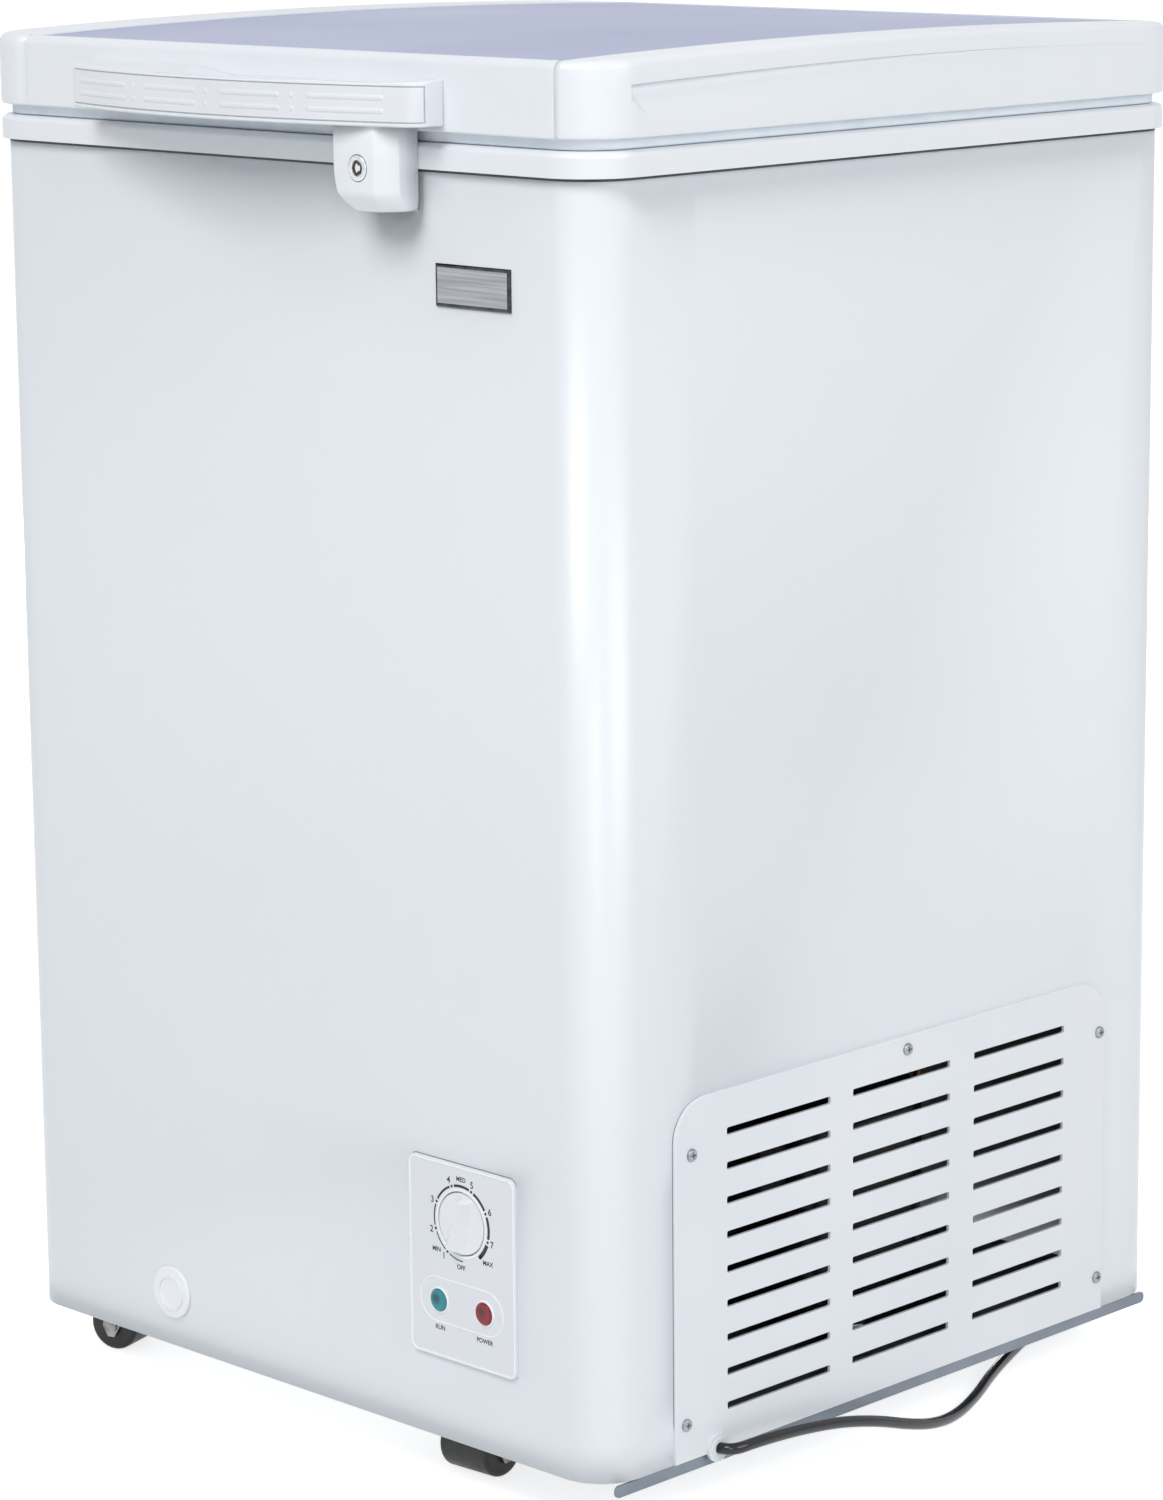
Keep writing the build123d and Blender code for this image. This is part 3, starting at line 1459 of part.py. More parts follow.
with BuildPart() as lock_cylinder:
    with BuildSketch(facing_front(-cam_front)):
        with Locations(lock_place):
            Circle(barrel_radius)
    extrude(amount=housing_face + barrel_proud - cam_front)
    fillet(lock_cylinder.edges().group_by(Axis.Y)[0], barrel_proud / 2)
    # keyway
    with BuildSketch(facing_front(-housing_face - barrel_proud)):
        with Locations(lock_place):
            Circle(2.2)
            Rectangle(1.6, 9.0)
            Rectangle(5.0, 1.4)
    extrude(amount=-6.0, mode=Mode.SUBTRACT)
finish(lock_cylinder, "lock_cylinder")

with BuildPart() as lock_keeper:
    with BuildSketch(facing_front(-half_depth)):
        with Locations((keeper_left, keeper_low)):
            Rectangle(keeper_width, keeper_height, align=(Align.MIN, Align.MIN))
        with Locations(keeper_screw_places):
            Circle(screw_shank, mode=Mode.SUBTRACT)
    extrude(amount=keeper_sheet)
    with BuildSketch(level(keeper_lip_low)):
        with Locations((keeper_lip_left, -half_depth)):
            Rectangle(keeper_lip_width, keeper_lip, align=(Align.MIN, Align.MAX))
    extrude(amount=keeper_lip_sheet)
finish(lock_keeper, "lock_keeper")

# ------------------------------------------------------------------ hinges

pin_y = half_depth + hinge_reach
pin_level = lid_low - hinge_drop
pin_place = (pin_y, pin_level)
ear_inner = knuckle_length / 2 + hinge_gap
bracket_top = bracket_low + bracket_height

with BuildPart() as hinge_brackets:
    with BuildSketch(facing_front(half_depth)):
        with Locations((-hinge_x, bracket_low), (hinge_x, bracket_low)):
            Rectangle(bracket_width, bracket_height, align=(Align.CENTER, Align.MIN))
        with Locations(bracket_screw_places):
            Circle(screw_shank, mode=Mode.SUBTRACT)
    extrude(amount=-hinge_sheet)
    for middle in (-hinge_x, hinge_x):
        for x in (middle - ear_inner - ear_sheet, middle + ear_inner):
            with BuildSketch(facing_right(x)):
                with BuildLine():
                    Polyline(
                        (half_depth, bracket_top - 45.0),
                        (half_depth, bracket_top),
                        (half_depth + lid_overhang + 0.3, bracket_top + 6.0),
                        (pin_y - ear_radius, pin_level),
                        (pin_y + ear_radius, pin_level),
                        (half_depth + lid_overhang, bracket_top - 45.0),
                        close=True,
                    )
                make_face()
                with Locations(pin_place):
                    Circle(ear_radius)
                    Circle(pin_radius, mode=Mode.SUBTRACT)
            extrude(amount=ear_sheet)
finish(hinge_brackets, "hinge_brackets")

with BuildPart() as hinge_leaves:
    for middle in (-hinge_x, hinge_x):
        with BuildSketch(facing_right(middle - knuckle_length / 2)):
            with Locations((lid_half_depth, leaf_low)):
                Rectangle(hinge_sheet, leaf_height + 2 * hinge_drop, align=(Align.MIN, Align.MIN))
            with Locations((lid_half_depth, pin_level)):
                Rectangle(pin_y - lid_half_depth, knuckle_radius, align=(Align.MIN, Align.MIN))
            with Locations(pin_place):
                Circle(knuckle_radius)
                Circle(pin_radius + pin_fit, mode=Mode.SUBTRACT)
        extrude(amount=knuckle_length)
    add(screw_bores(leaf_screw_places, facing_front(lid_half_depth), screw_shank, 2 * hinge_sheet),
        mode=Mode.SUBTRACT)
finish(hinge_leaves, "hinge_leaves")

with BuildPart() as hinge_pins:
    for side in (-1, 1):
        with BuildSketch(facing_right(side * hinge_x - ear_inner - ear_sheet)):
            with Locations(pin_place):
                Circle(pin_radius)
        extrude(amount=2 * (ear_inner + ear_sheet))
        for x in (-ear_inner - ear_sheet - 1.5, ear_inner + ear_sheet):
            with BuildSketch(facing_right(side * hinge_x + x)):
                with Locations(pin_place):
                    Circle(1.5 * pin_radius)
            extrude(amount=1.5)
finish(hinge_pins, "hinge_pins")

# ------------------------------------------------------------------ basket

ledge_level = frame_top - ledge_depth
basket_low = ledge_level - basket_drop + basket_sheet
basket_depth = 2 * (chamber_y - basket_end_gap)
basket_right = chamber_x - basket_side_gap
basket_x = basket_right - basket_width / 2
basket_top = ledge_level + basket_clear + basket_sheet


def openings(count_x, count_y):
    """A grid of mesh openings on the current sketch."""
    with GridLocations(mesh_pitch, mesh_pitch, count_x, count_y):
        Rectangle(mesh_pitch - mesh_bar, mesh_pitch - mesh_bar)


with BuildPart(mode=Mode.PRIVATE) as basket:
    with BuildSketch(level(basket_low)):
        with Locations((basket_x, 0)):
            RectangleRounded(basket_width, basket_depth, basket_corner)
    extrude(amount=basket_top - basket_low)
    with BuildSketch(level(ledge_level + basket_clear)):
        with Locations((basket_x, 0)):
            Rectangle(basket_rim_length, 2 * (chamber_y + basket_rim))
    extrude(amount=basket_sheet)
    with BuildSketch(level(basket_low + basket_sheet)):
        with Locations((basket_x, 0)):
            RectangleRounded(basket_width - 2 * basket_sheet, basket_depth - 2 * basket_sheet,
                             basket_corner - basket_sheet)
    extrude(amount=basket_top - basket_low, mode=Mode.SUBTRACT)
    mesh_middle = (basket_low + ledge_level) / 2
    mesh_rows = int((basket_drop - 2 * mesh_bar) // mesh_pitch)
    mesh_columns = int((basket_depth - 2 * basket_corner) // mesh_pitch)
    mesh_across = int((basket_width - 2 * basket_corner) // mesh_pitch)
    with BuildSketch(facing_right(basket_x)):
        with Locations((0, mesh_middle)):
            openings(mesh_columns, mesh_rows)
    extrude(amount=basket_width, both=True, mode=Mode.SUBTRACT)
    with BuildSketch(facing_front(0)):
        with Locations((basket_x, mesh_middle)):
            openings(mesh_across, mesh_rows)
    extrude(amount=basket_depth, both=True, mode=Mode.SUBTRACT)
    with BuildSketch(level(basket_low)):
        with Locations((basket_x, 0)):
            openings(mesh_across, mesh_columns)
    extrude(amount=basket_sheet, mode=Mode.SUBTRACT)

# the moulding in parts: its floor, and four walls that meet at mitres in the round corners
wall_low = basket_low + basket_sheet
basket_reach = chamber_y + basket_rim
mitre = basket_width / 2


def basket_sector(corners):
    """Upright block over the given corners, from the basket's floor upwards."""
    with BuildPart(mode=Mode.PRIVATE) as sector:
        with BuildSketch(level(wall_low)):
            with BuildLine():
                Polyline(*corners, close=True)
            make_face()
        extrude(amount=basket_drop)
    return sector.part


with BuildPart() as basket_floor:
    with BuildSketch(level(basket_low)):
        with Locations((basket_x, 0)):
            Rectangle(basket_width, basket_depth)
    extrude(amount=basket_sheet)
    add(basket.part, mode=Mode.INTERSECT)
finish(basket_floor, "basket_floor")

mitre_start = basket_depth / 2 - mitre
wing = basket_reach - mitre_start

with BuildPart() as basket_ends:
    for side in (-1, 1):
        add(basket_sector([(basket_x, side * mitre_start), (basket_x + wing, side * basket_reach),
                           (basket_x - wing, side * basket_reach)]))
    add(basket.part, mode=Mode.INTERSECT)
finish(basket_ends, "basket_ends")

with BuildPart() as basket_sides:
    for outer in (basket_x - mitre, basket_x + mitre):
        add(basket_sector([(basket_x, -mitre_start), (outer, -basket_depth / 2),
                           (outer, basket_depth / 2), (basket_x, mitre_start)]))
    add(basket.part, mode=Mode.INTERSECT)
finish(basket_sides, "basket_sides")

# ------------------------------------------------------------------ mains lead


def bend_radii(points):
    """Radius of the arc at each corner: as large as the two runs beside it allow."""
    radii = []
    for before, here, after in zip(points, points[1:], points[2:]):
        run_in = here - before
        run_out = after - here
        turn = math.radians(run_in.get_angle(run_out))
        radii.append(0.45 * min(run_in.length, run_out.length) / math.tan(turn / 2))
    return radii


route_points = [Vector(half_width + x, y + cabinet_y, z) for x, y, z in lead_route]
lead_radii = bend_radii(route_points)

with BuildPart() as power_cord:
    with BuildLine() as lead_line:
        FilletPolyline(*route_points, radius=lead_radii)
    with BuildSketch(Plane(origin=lead_line.line @ 0, z_dir=lead_line.line % 0)):
        Circle(lead_diameter / 2)
    sweep(path=lead_line.line)
finish(power_cord, "power_cord")

print("lead bend radii:", [round(radius) for radius in lead_radii])
lead_length = lead_line.wire().length
section = math.pi * lead_diameter ** 2 / 4
print(f"lead outside the coil {lead_length:.1f}, volume / (section x length) "
      f"{power_cord.part.volume / (section * lead_length):.5f}")

coil_outer = coil_turn_radius + coil_columns * lead_diameter / 2
coil_inner = coil_turn_radius - coil_columns * lead_diameter / 2

with BuildPart() as cord_coil:
    with BuildSketch(level(0)):
        with Locations((coil_x, coil_y)):
            Circle(coil_outer)
            Circle(coil_inner, mode=Mode.SUBTRACT)
    extrude(amount=coil_layers * lead_diameter)
finish(cord_coil, "cord_coil")

# the plug lies where the last turn leaves the coil along a tangent
last_turn = coil_turn_radius + lead_diameter / 2
leave_angle = math.radians(plug_heading - 90)
tangent_run = math.sqrt(plug_distance ** 2 - last_turn ** 2)
heading = Vector(math.cos(math.radians(plug_heading)), math.sin(math.radians(plug_heading)), 0)
plug_origin = Vector(
    coil_x + last_turn * math.cos(leave_angle) + tangent_run * heading.X,
    coil_y + last_turn * math.sin(leave_angle) + tangent_run * heading.Y + cabinet_y,
    plug_height / 2,
)


def plug_plane(ahead):
    """Plane across the plug, ahead of its tail: local x is level, local y is up."""
    return Plane(origin=plug_origin + heading * ahead, x_dir=heading.cross(Vector(0, 0, 1)) * -1,
                 z_dir=heading)


with BuildPart() as mains_plug:
    with BuildSketch(plug_plane(0)):
        Circle(lead_diameter / 2 + 0.8)
    with BuildSketch(plug_plane(plug_tail)):
        Circle(lead_diameter / 2 + 3.5)
    loft()
    with BuildSketch(plug_plane(plug_tail)):
        RectangleRounded(0.75 * plug_width, 0.8 * plug_height, 4.0)
    with BuildSketch(plug_plane(plug_tail + 0.4 * plug_length)):
        RectangleRounded(plug_width, plug_height, 4.0)
    loft()
    with BuildSketch(plug_plane(plug_tail + 0.4 * plug_length)):
        RectangleRounded(plug_width, plug_height, 4.0)
    extrude(amount=0.6 * plug_length)
    # two flat blades and a round earth pin
    with BuildSketch(plug_plane(plug_tail + plug_length)):
        with Locations((-6.35, 3.0), (6.35, 3.0)):
            Rectangle(1.5, 6.3)
        with Locations((0, -5.5)):
            Circle(2.4)
    extrude(amount=blade_length)
finish(mains_plug, "mains_plug")
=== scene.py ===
import math

import bmesh
import bpy
import numpy as np
from mathutils import Matrix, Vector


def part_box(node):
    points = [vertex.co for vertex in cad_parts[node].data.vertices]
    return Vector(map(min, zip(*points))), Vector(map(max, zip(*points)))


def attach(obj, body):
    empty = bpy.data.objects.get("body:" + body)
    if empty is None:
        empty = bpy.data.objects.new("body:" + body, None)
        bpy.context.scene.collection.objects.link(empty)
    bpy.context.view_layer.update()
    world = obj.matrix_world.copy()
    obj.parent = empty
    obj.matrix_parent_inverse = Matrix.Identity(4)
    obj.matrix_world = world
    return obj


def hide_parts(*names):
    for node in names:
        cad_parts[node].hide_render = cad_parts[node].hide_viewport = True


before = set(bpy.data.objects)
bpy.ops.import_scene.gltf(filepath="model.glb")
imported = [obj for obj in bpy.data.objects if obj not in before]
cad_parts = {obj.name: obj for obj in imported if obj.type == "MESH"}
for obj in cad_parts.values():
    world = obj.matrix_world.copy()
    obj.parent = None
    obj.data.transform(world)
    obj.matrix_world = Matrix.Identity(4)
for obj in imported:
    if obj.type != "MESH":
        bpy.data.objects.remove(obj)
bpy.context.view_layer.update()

# ---------------------------------------- room
# A chest freezer stands on a plain pale floor, in even studio light. Nothing here belongs to it.


def seen_directly(tree):
    """Node output that is 1 for rays from the camera, from a mirror or through glass, and 0 for light."""
    rays = tree.nodes.new("ShaderNodeLightPath")
    first = tree.nodes.new("ShaderNodeMath")
    first.operation = "MAXIMUM"
    second = tree.nodes.new("ShaderNodeMath")
    second.operation = "MAXIMUM"
    tree.links.new(rays.outputs["Is Camera Ray"], first.inputs[0])
    tree.links.new(rays.outputs["Is Glossy Ray"], first.inputs[1])
    tree.links.new(first.outputs[0], second.inputs[0])
    tree.links.new(rays.outputs["Is Transmission Ray"], second.inputs[1])
    return second.outputs[0]


scene = bpy.context.scene
scene.view_settings.view_transform = "Standard"

world = bpy.data.worlds.new("room")
world.use_nodes = True
scene.world = world
room = world.node_tree
background = room.nodes["Background"]
background.inputs["Color"].default_value = (0.96, 0.98, 1.0, 1.0)
level_of_room = room.nodes.new("ShaderNodeMapRange")
level_of_room.inputs["To Min"].default_value = 0.36
level_of_room.inputs["To Max"].default_value = 1.10
room.links.new(seen_directly(room), level_of_room.inputs["Value"])
room.links.new(level_of_room.outputs[0], background.inputs["Strength"])

floor_mesh = bpy.data.meshes.new("floor")
floor_mesh.from_pydata([(-40, -40, 0), (40, -40, 0), (40, 40, 0), (-40, 40, 0)], [], [(0, 1, 2, 3)])
floor = bpy.data.objects.new("floor", floor_mesh)
scene.collection.objects.link(floor)
floor_paint = bpy.data.materials.new("floor_paint")
floor_paint.use_nodes = True
tree = floor_paint.node_tree
paint = tree.nodes["Principled BSDF"]
paint.inputs["Base Color"].default_value = (0.86, 0.87, 0.88, 1.0)
paint.inputs["Roughness"].default_value = 0.9
paint.inputs["Specular IOR Level"].default_value = 0.1
paint.inputs["Emission Color"].default_value = (1.0, 1.0, 1.0, 1.0)
lift = tree.nodes.new("ShaderNodeMath")
lift.operation = "MULTIPLY"
lift.inputs[1].default_value = 0.75
tree.links.new(seen_directly(tree), lift.inputs[0])
tree.links.new(lift.outputs[0], paint.inputs["Emission Strength"])
floor_mesh.materials.append(floor_paint)


def softbox(name, place, aim, width, height, power):
    """Large rectangular lamp at a place, facing a point."""
    lamp = bpy.data.lights.new(name, "AREA")
    lamp.shape = "RECTANGLE"
    lamp.size, lamp.size_y = width, height
    lamp.energy = power
    box = bpy.data.objects.new(name, lamp)
    scene.collection.objects.link(box)
    away = np.array(place, float) - np.array(aim, float)
    away /= np.linalg.norm(away)
    across = np.cross((0.0, 0.0, 1.0), away)
    across /= np.linalg.norm(across)
    box.matrix_world = Matrix.Translation(place) @ Matrix(
        np.array([across, np.cross(away, across), away]).T.tolist()).to_4x4()


softbox("front_softbox", (0.3, -2.4, 3.0), (0.0, 0.0, 0.45), 1.5, 1.4, 49.0)
softbox("right_softbox", (3.1, 0.3, 2.0), (0.0, 0.0, 0.45), 2.0, 1.8, 37.0)
softbox("key_softbox", (2.4, -2.6, 1.7), (0.2, -0.2, 0.5), 1.2, 1.6, 17.0)
softbox("rear_softbox", (-2.4, 2.6, 0.44), (0.0, 0.0, 0.44), 2.4, 0.7, 36.0)

# long lens at chest height, 45 degrees round to the right
camera_turn, camera_rise, camera_roll = 0.78076, 0.20414, -0.00928
camera_place = (2.03198, -2.0425, 0.99245)
away = np.array([math.sin(camera_turn) * math.cos(camera_rise),
                 -math.cos(camera_turn) * math.cos(camera_rise), math.sin(camera_rise)])
level_right = np.array([math.cos(camera_turn), math.sin(camera_turn), 0.0])
level_up = np.cross(away, level_right)
roll_cos, roll_sin = math.cos(camera_roll), math.sin(camera_roll)
axes = np.array([roll_cos * level_right + roll_sin * level_up,
                 roll_cos * level_up - roll_sin * level_right, away])
lens = bpy.data.cameras.new("camera")
lens.sensor_width = 36.0
lens.lens = 112.3
lens.clip_end = 200.0
camera = bpy.data.objects.new("camera", lens)
camera.matrix_world = Matrix.Translation(camera_place) @ Matrix(axes.T.tolist()).to_4x4()
scene.collection.objects.link(camera)
scene.camera = camera

# ---------------------------------------- cabinet wrap
# One sheet of 0.8 mm steel in white baked enamel, bent round the four upright corners and open
# at the back for the rear panel, with windows cut behind the grille and the control panel.


def ring(half_x, half_y, corner, steps=14, lead=0.0015):
    """Rounded rectangles, anticlockwise from the rear right corner, one row each: a quarter circle
    cut into steps at every corner, and one more point a little way along each straight side."""
    sizes = np.broadcast_arrays(*(np.atleast_1d(a).astype(float) for a in (half_x, half_y, corner)))
    half_x, half_y, corner = (a[:, None, None] for a in sizes)
    angle = (np.arange(4)[:, None] + np.r_[0.0, np.linspace(0.0, 1.0, steps + 1), 1.0]) * np.pi / 2
    along = np.r_[-lead, np.zeros(steps + 1), lead]
    right = np.array([1.0, -1.0, -1.0, 1.0])[:, None]
    rear = np.array([1.0, 1.0, -1.0, -1.0])[:, None]
    x = right * (half_x - corner) + corner * np.cos(angle) - along * np.sin(angle)
    y = rear * (half_y - corner) + corner * np.sin(angle) + along * np.cos(angle)
    return x.reshape(len(x), -1), y.reshape(len(y), -1)


def stacked(x, y, z, middle):
    """Grid of points, one row per height z, from outlines x and y about a middle point."""
    rows = np.broadcast_arrays(x + middle[0], y + middle[1], np.asarray(z, float).reshape(-1, 1))
    return np.stack(rows, axis=-1)


def grid(points, around=False, keep=None, flip=False):
    """Points and four-sided faces of a grid: each face joins a point to the next in its row and to
    both of the row above. around joins the last column to the first, keep is a table of the cells
    that are not cut away, and flip turns the faces over."""
    rows, columns = points.shape[:2]
    i, j = np.meshgrid(np.arange(rows - 1), np.arange(columns - (not around)), indexing="ij")
    kept = np.ones(i.shape, bool) if keep is None else keep
    i, j = i[kept], j[kept]
    up, on = i + 1, (j + 1) % columns
    faces = np.stack([i * columns + j, i * columns + on, up * columns + on, up * columns + j], axis=-1)
    return points.reshape(-1, 3), faces[:, ::-1] if flip else faces


def piece(name, grids, material, body, stands_for=(), sharp=35.0):
    """One object from several grids: points in the same place are merged, and edges that turn by
    more than the angle sharp stay sharp."""
    first = np.cumsum([0] + [len(points) for points, faces in grids])
    mesh = bpy.data.meshes.new(name)
    mesh.from_pydata(np.concatenate([points for points, faces in grids]).tolist(), [],
                     np.concatenate([faces + n for (points, faces), n in zip(grids, first)]).tolist())
    work = bmesh.new()
    work.from_mesh(mesh)
    bmesh.ops.remove_doubles(work, verts=work.verts, dist=2e-6)
    bmesh.ops.dissolve_degenerate(work, edges=work.edges, dist=1e-7)
    work.to_mesh(mesh)
    work.free()
    mesh.shade_smooth()
    mesh.set_sharp_from_angle(angle=math.radians(sharp))
    mesh.materials.append(material)
    made = bpy.data.objects.new(name, mesh)
    scene.collection.objects.link(made)
    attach(made, body)
    if stands_for:
        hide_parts(*stands_for)
    return made


def tint(red, green, blue):
    """Linear colour of three 8-bit display values: below 0.04 a straight line, above it a power of 2.4."""
    shown = np.array([red, green, blue]) / 255.0
    linear = np.where(shown <= 0.04045, shown / 12.92, ((shown + 0.055) / 1.055) ** 2.4)
    return (*linear.tolist(), 1.0)


def finish(name, colour, shade, patch, rough, grain, depth, metal=0.0, sheen=0.0):
    """Surface finish: colour drifting to shade over patches of that size, roughness drifting between
    two values with it, and a fine grain of that size and depth, in metres. sheen is a clear coat."""
    material = bpy.data.materials.new(name)
    material.use_nodes = True
    tree = material.node_tree
    shader = tree.nodes["Principled BSDF"]
    place = tree.nodes.new("ShaderNodeTexCoord")
    drift = tree.nodes.new("ShaderNodeTexNoise")
    drift.inputs["Scale"].default_value = 1.0 / patch
    drift.inputs["Detail"].default_value = 3.0
    mix = tree.nodes.new("ShaderNodeMix")
    mix.data_type = "RGBA"
    mix.inputs["A"].default_value = tint(*colour)
    mix.inputs["B"].default_value = tint(*shade)
    spread = tree.nodes.new("ShaderNodeMapRange")
    spread.inputs["From Min"].default_value = 0.35
    spread.inputs["From Max"].default_value = 0.65
    gloss = tree.nodes.new("ShaderNodeMapRange")
    gloss.inputs["From Min"].default_value = 0.3
    gloss.inputs["From Max"].default_value = 0.7
    gloss.inputs["To Min"].default_value = rough[0]
    gloss.inputs["To Max"].default_value = rough[1]
    fine = tree.nodes.new("ShaderNodeTexNoise")
    fine.inputs["Scale"].default_value = 1.0 / grain
    fine.inputs["Detail"].default_value = 2.0
    bump = tree.nodes.new("ShaderNodeBump")
    bump.inputs["Strength"].default_value = 1.0
    bump.inputs["Distance"].default_value = depth
    shader.inputs["Metallic"].default_value = metal
    shader.inputs["Coat Weight"].default_value = sheen
    shader.inputs["Coat Roughness"].default_value = 0.08
    link = tree.links.new
    link(place.outputs["Object"], drift.inputs["Vector"])
    link(place.outputs["Object"], fine.inputs["Vector"])
    link(drift.outputs["Fac"], spread.inputs["Value"])
    link(spread.outputs[0], mix.inputs["Factor"])
    link(mix.outputs["Result"], shader.inputs["Base Color"])
    link(drift.outputs["Fac"], gloss.inputs["Value"])
    link(gloss.outputs[0], shader.inputs["Roughness"])
    link(fine.outputs["Fac"], bump.inputs["Height"])
    link(bump.outputs["Normal"], shader.inputs["Normal"])
    return material


def wall_of(made, thickness):
    """Gives an open sheet its thickness, inwards from the face that is modelled."""
    solid = made.modifiers.new("thickness", "SOLIDIFY")
    solid.thickness = thickness
    solid.offset = -1.0
    return made


def corners(name):
    """Lowest and highest corner of the box round one part of the frame."""
    return tuple(np.array(corner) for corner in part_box(name))


white_enamel = finish("white_enamel", (232, 236, 240), (229, 234, 239), 0.35, (0.30, 0.36), 0.0028, 0.000012)

box_low, box_high = corners("outer_cabinet")
cabinet_middle = (box_low + box_high) / 2
wrap_half_x, wrap_half_y = ((box_high - box_low) / 2)[:2]
wrap_bottom, wrap_top = box_low[2], box_high[2]
wrap_corner = 0.030
wrap_sheet = 0.0008
grille_low, grille_high = corners("vent_grille")
panel_low, panel_high = corners("control_panel")
rear_low, rear_high = corners("rear_panel")
grille_edge, panel_edge = 0.022, 0.005
rear_joint = 0.0003

corner_steps = 14
per_corner = corner_steps + 3
x, y = ring(wrap_half_x, wrap_half_y, wrap_corner, corner_steps)
x, y = (np.roll(a[0], -per_corner) for a in (x, y))
x[0], x[-1] = rear_low[0] - rear_joint, rear_high[0] + rear_joint
run = np.r_[0.0, np.cumsum(np.hypot(np.diff(x), np.diff(y)))]
front_start, right_start = 2 * per_corner - 1, 3 * per_corner - 1
panel_window = (run[front_start] + np.array([panel_low[0] + panel_edge, panel_high[0] - panel_edge])
                - x[front_start])
grille_window = (run[right_start] + np.array([grille_low[1] + grille_edge, grille_high[1] - grille_edge])
                 - cabinet_middle[1] - y[right_start])
stops = np.unique(np.r_[run, panel_window, grille_window])
x, y = np.interp(stops, run, x), np.interp(stops, run, y)
panel_heights = [panel_low[2] + panel_edge, panel_high[2] - panel_edge]
grille_heights = [grille_low[2] + grille_edge, grille_high[2] - grille_edge]
heights = np.unique(np.r_[wrap_bottom, panel_heights, grille_heights, wrap_top])
across, upward = (stops[:-1] + stops[1:]) / 2, ((heights[:-1] + heights[1:]) / 2)[:, None]
behind_panel = ((across > panel_window[0]) & (across < panel_window[1])
                & (upward > panel_heights[0]) & (upward < panel_heights[1]))
behind_grille = ((across > grille_window[0]) & (across < grille_window[1])
                 & (upward > grille_heights[0]) & (upward < grille_heights[1]))
wrap = grid(stacked(x[None], y[None], heights, cabinet_middle), keep=~(behind_panel | behind_grille))
cabinet_wrap = piece("cabinet_wrap", [wrap], white_enamel, "cabinet", ["outer_cabinet"])
wall_of(cabinet_wrap, wrap_sheet)

# ---------------------------------------- sheet metal of the back and the base
# Zinc-coated steel, left bare: the flat rear panel, the stepped bottom sheet
# and the compressor's tray, whose folded rail shows below the right side.

galvanised = finish("galvanised", (170, 173, 175), (165, 168, 171), 0.014, (0.42, 0.47), 0.0012, 0.000010,
                    metal=0.85)
rail_steel = finish("rail_steel", (128, 137, 147), (116, 125, 136), 0.05, (0.42, 0.55), 0.0015, 0.000012,
                    metal=0.35)


def dress(names, material, crease=32.0):
    """Gives the named parts of the frame a finish, and rounds their shading: loose triangles are
    joined, edges that turn by more than the angle crease stay sharp, and flat faces stay flat."""
    same_place = 0.000002
    for name in names:
        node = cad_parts[name]
        for place in node.material_slots:
            place.material = material
        node.data.shade_smooth()
        node.modifiers.new("join", "WELD").merge_threshold = same_place
        node.modifiers.new("creases", "EDGE_SPLIT").split_angle = math.radians(crease)
        node.modifiers.new("flats", "WEIGHTED_NORMAL").weight = 100


dress(["rear_panel", "bottom_panel"], galvanised)
dress(["compressor_base"], rail_steel)

# ---------------------------------------- chamber
# Embossed aluminium sheet folded to a tub with a step over the compressor bay; rigid foam,
# blown in behind it, fills the walls and the lid.


def embossed(name, colour, shade, pitch, depth):
    """Sheet pressed with a fine pebble pattern of that pitch, from the distance to scattered points."""
    material = finish(name, colour, shade, 0.12, (0.34, 0.46), 0.0010, 0.000010, metal=0.9)
    tree = material.node_tree
    place = next(node for node in tree.nodes if node.type == "TEX_COORD")
    fine = next(node for node in tree.nodes if node.type == "BUMP")
    pebbles = tree.nodes.new("ShaderNodeTexVoronoi")
    pebbles.inputs["Scale"].default_value = 1.0 / pitch
    pressed = tree.nodes.new("ShaderNodeBump")
    pressed.inputs["Distance"].default_value = depth
    tree.links.new(place.outputs["Object"], pebbles.inputs["Vector"])
    tree.links.new(pebbles.outputs["Distance"], pressed.inputs["Height"])
    tree.links.new(pressed.outputs["Normal"], fine.inputs["Normal"])
    return material


dress(["inner_liner"], embossed("embossed_aluminium", (205, 208, 211), (190, 194, 198), 0.006, 0.00025))
dress(["cabinet_foam", "lid_foam"],
      finish("rigid_foam", (226, 206, 150), (205, 184, 126), 0.02, (0.85, 0.95), 0.0015, 0.0003))

# ---------------------------------------- collar
# Moulded plastic frame that closes the cabinet's top: a rounded band outside, a flat land for the
# gasket, a skirt down to the chamber and a ledge front and back that carries the basket.

white_moulding = finish("white_moulding", (234, 237, 241), (230, 234, 239), 0.20, (0.30, 0.38), 0.0020,
                        0.000010)
dress(["top_frame"], white_moulding)

# painted shadow: a thin dark band laid on the wrap's top edge, just under the collar's band
# painted shadow: the dark finish that stands for the shade in joints, gaps and recesses
painted_shadow = finish("painted_shadow", (74, 76, 82), (62, 64, 70), 0.03, (0.60, 0.75), 0.0010, 0.00001)
shadow_band_height, shadow_band_proud = 0.0018, 0.0001
shadow_band_x, shadow_band_y = ring(wrap_half_x + shadow_band_proud, wrap_half_y + shadow_band_proud, wrap_corner + shadow_band_proud)
shadow_band = stacked(shadow_band_x, shadow_band_y, [wrap_top - shadow_band_height, wrap_top], cabinet_middle)
piece("collar_shadow_line", [grid(shadow_band, around=True)], painted_shadow, "cabinet")

# ---------------------------------------- compressor bay
# Hermetic compressor in black enamel on four rubber mounts, with its terminal cover, a copper
# filter drier and copper tubes. It shows only in glints through the grille.

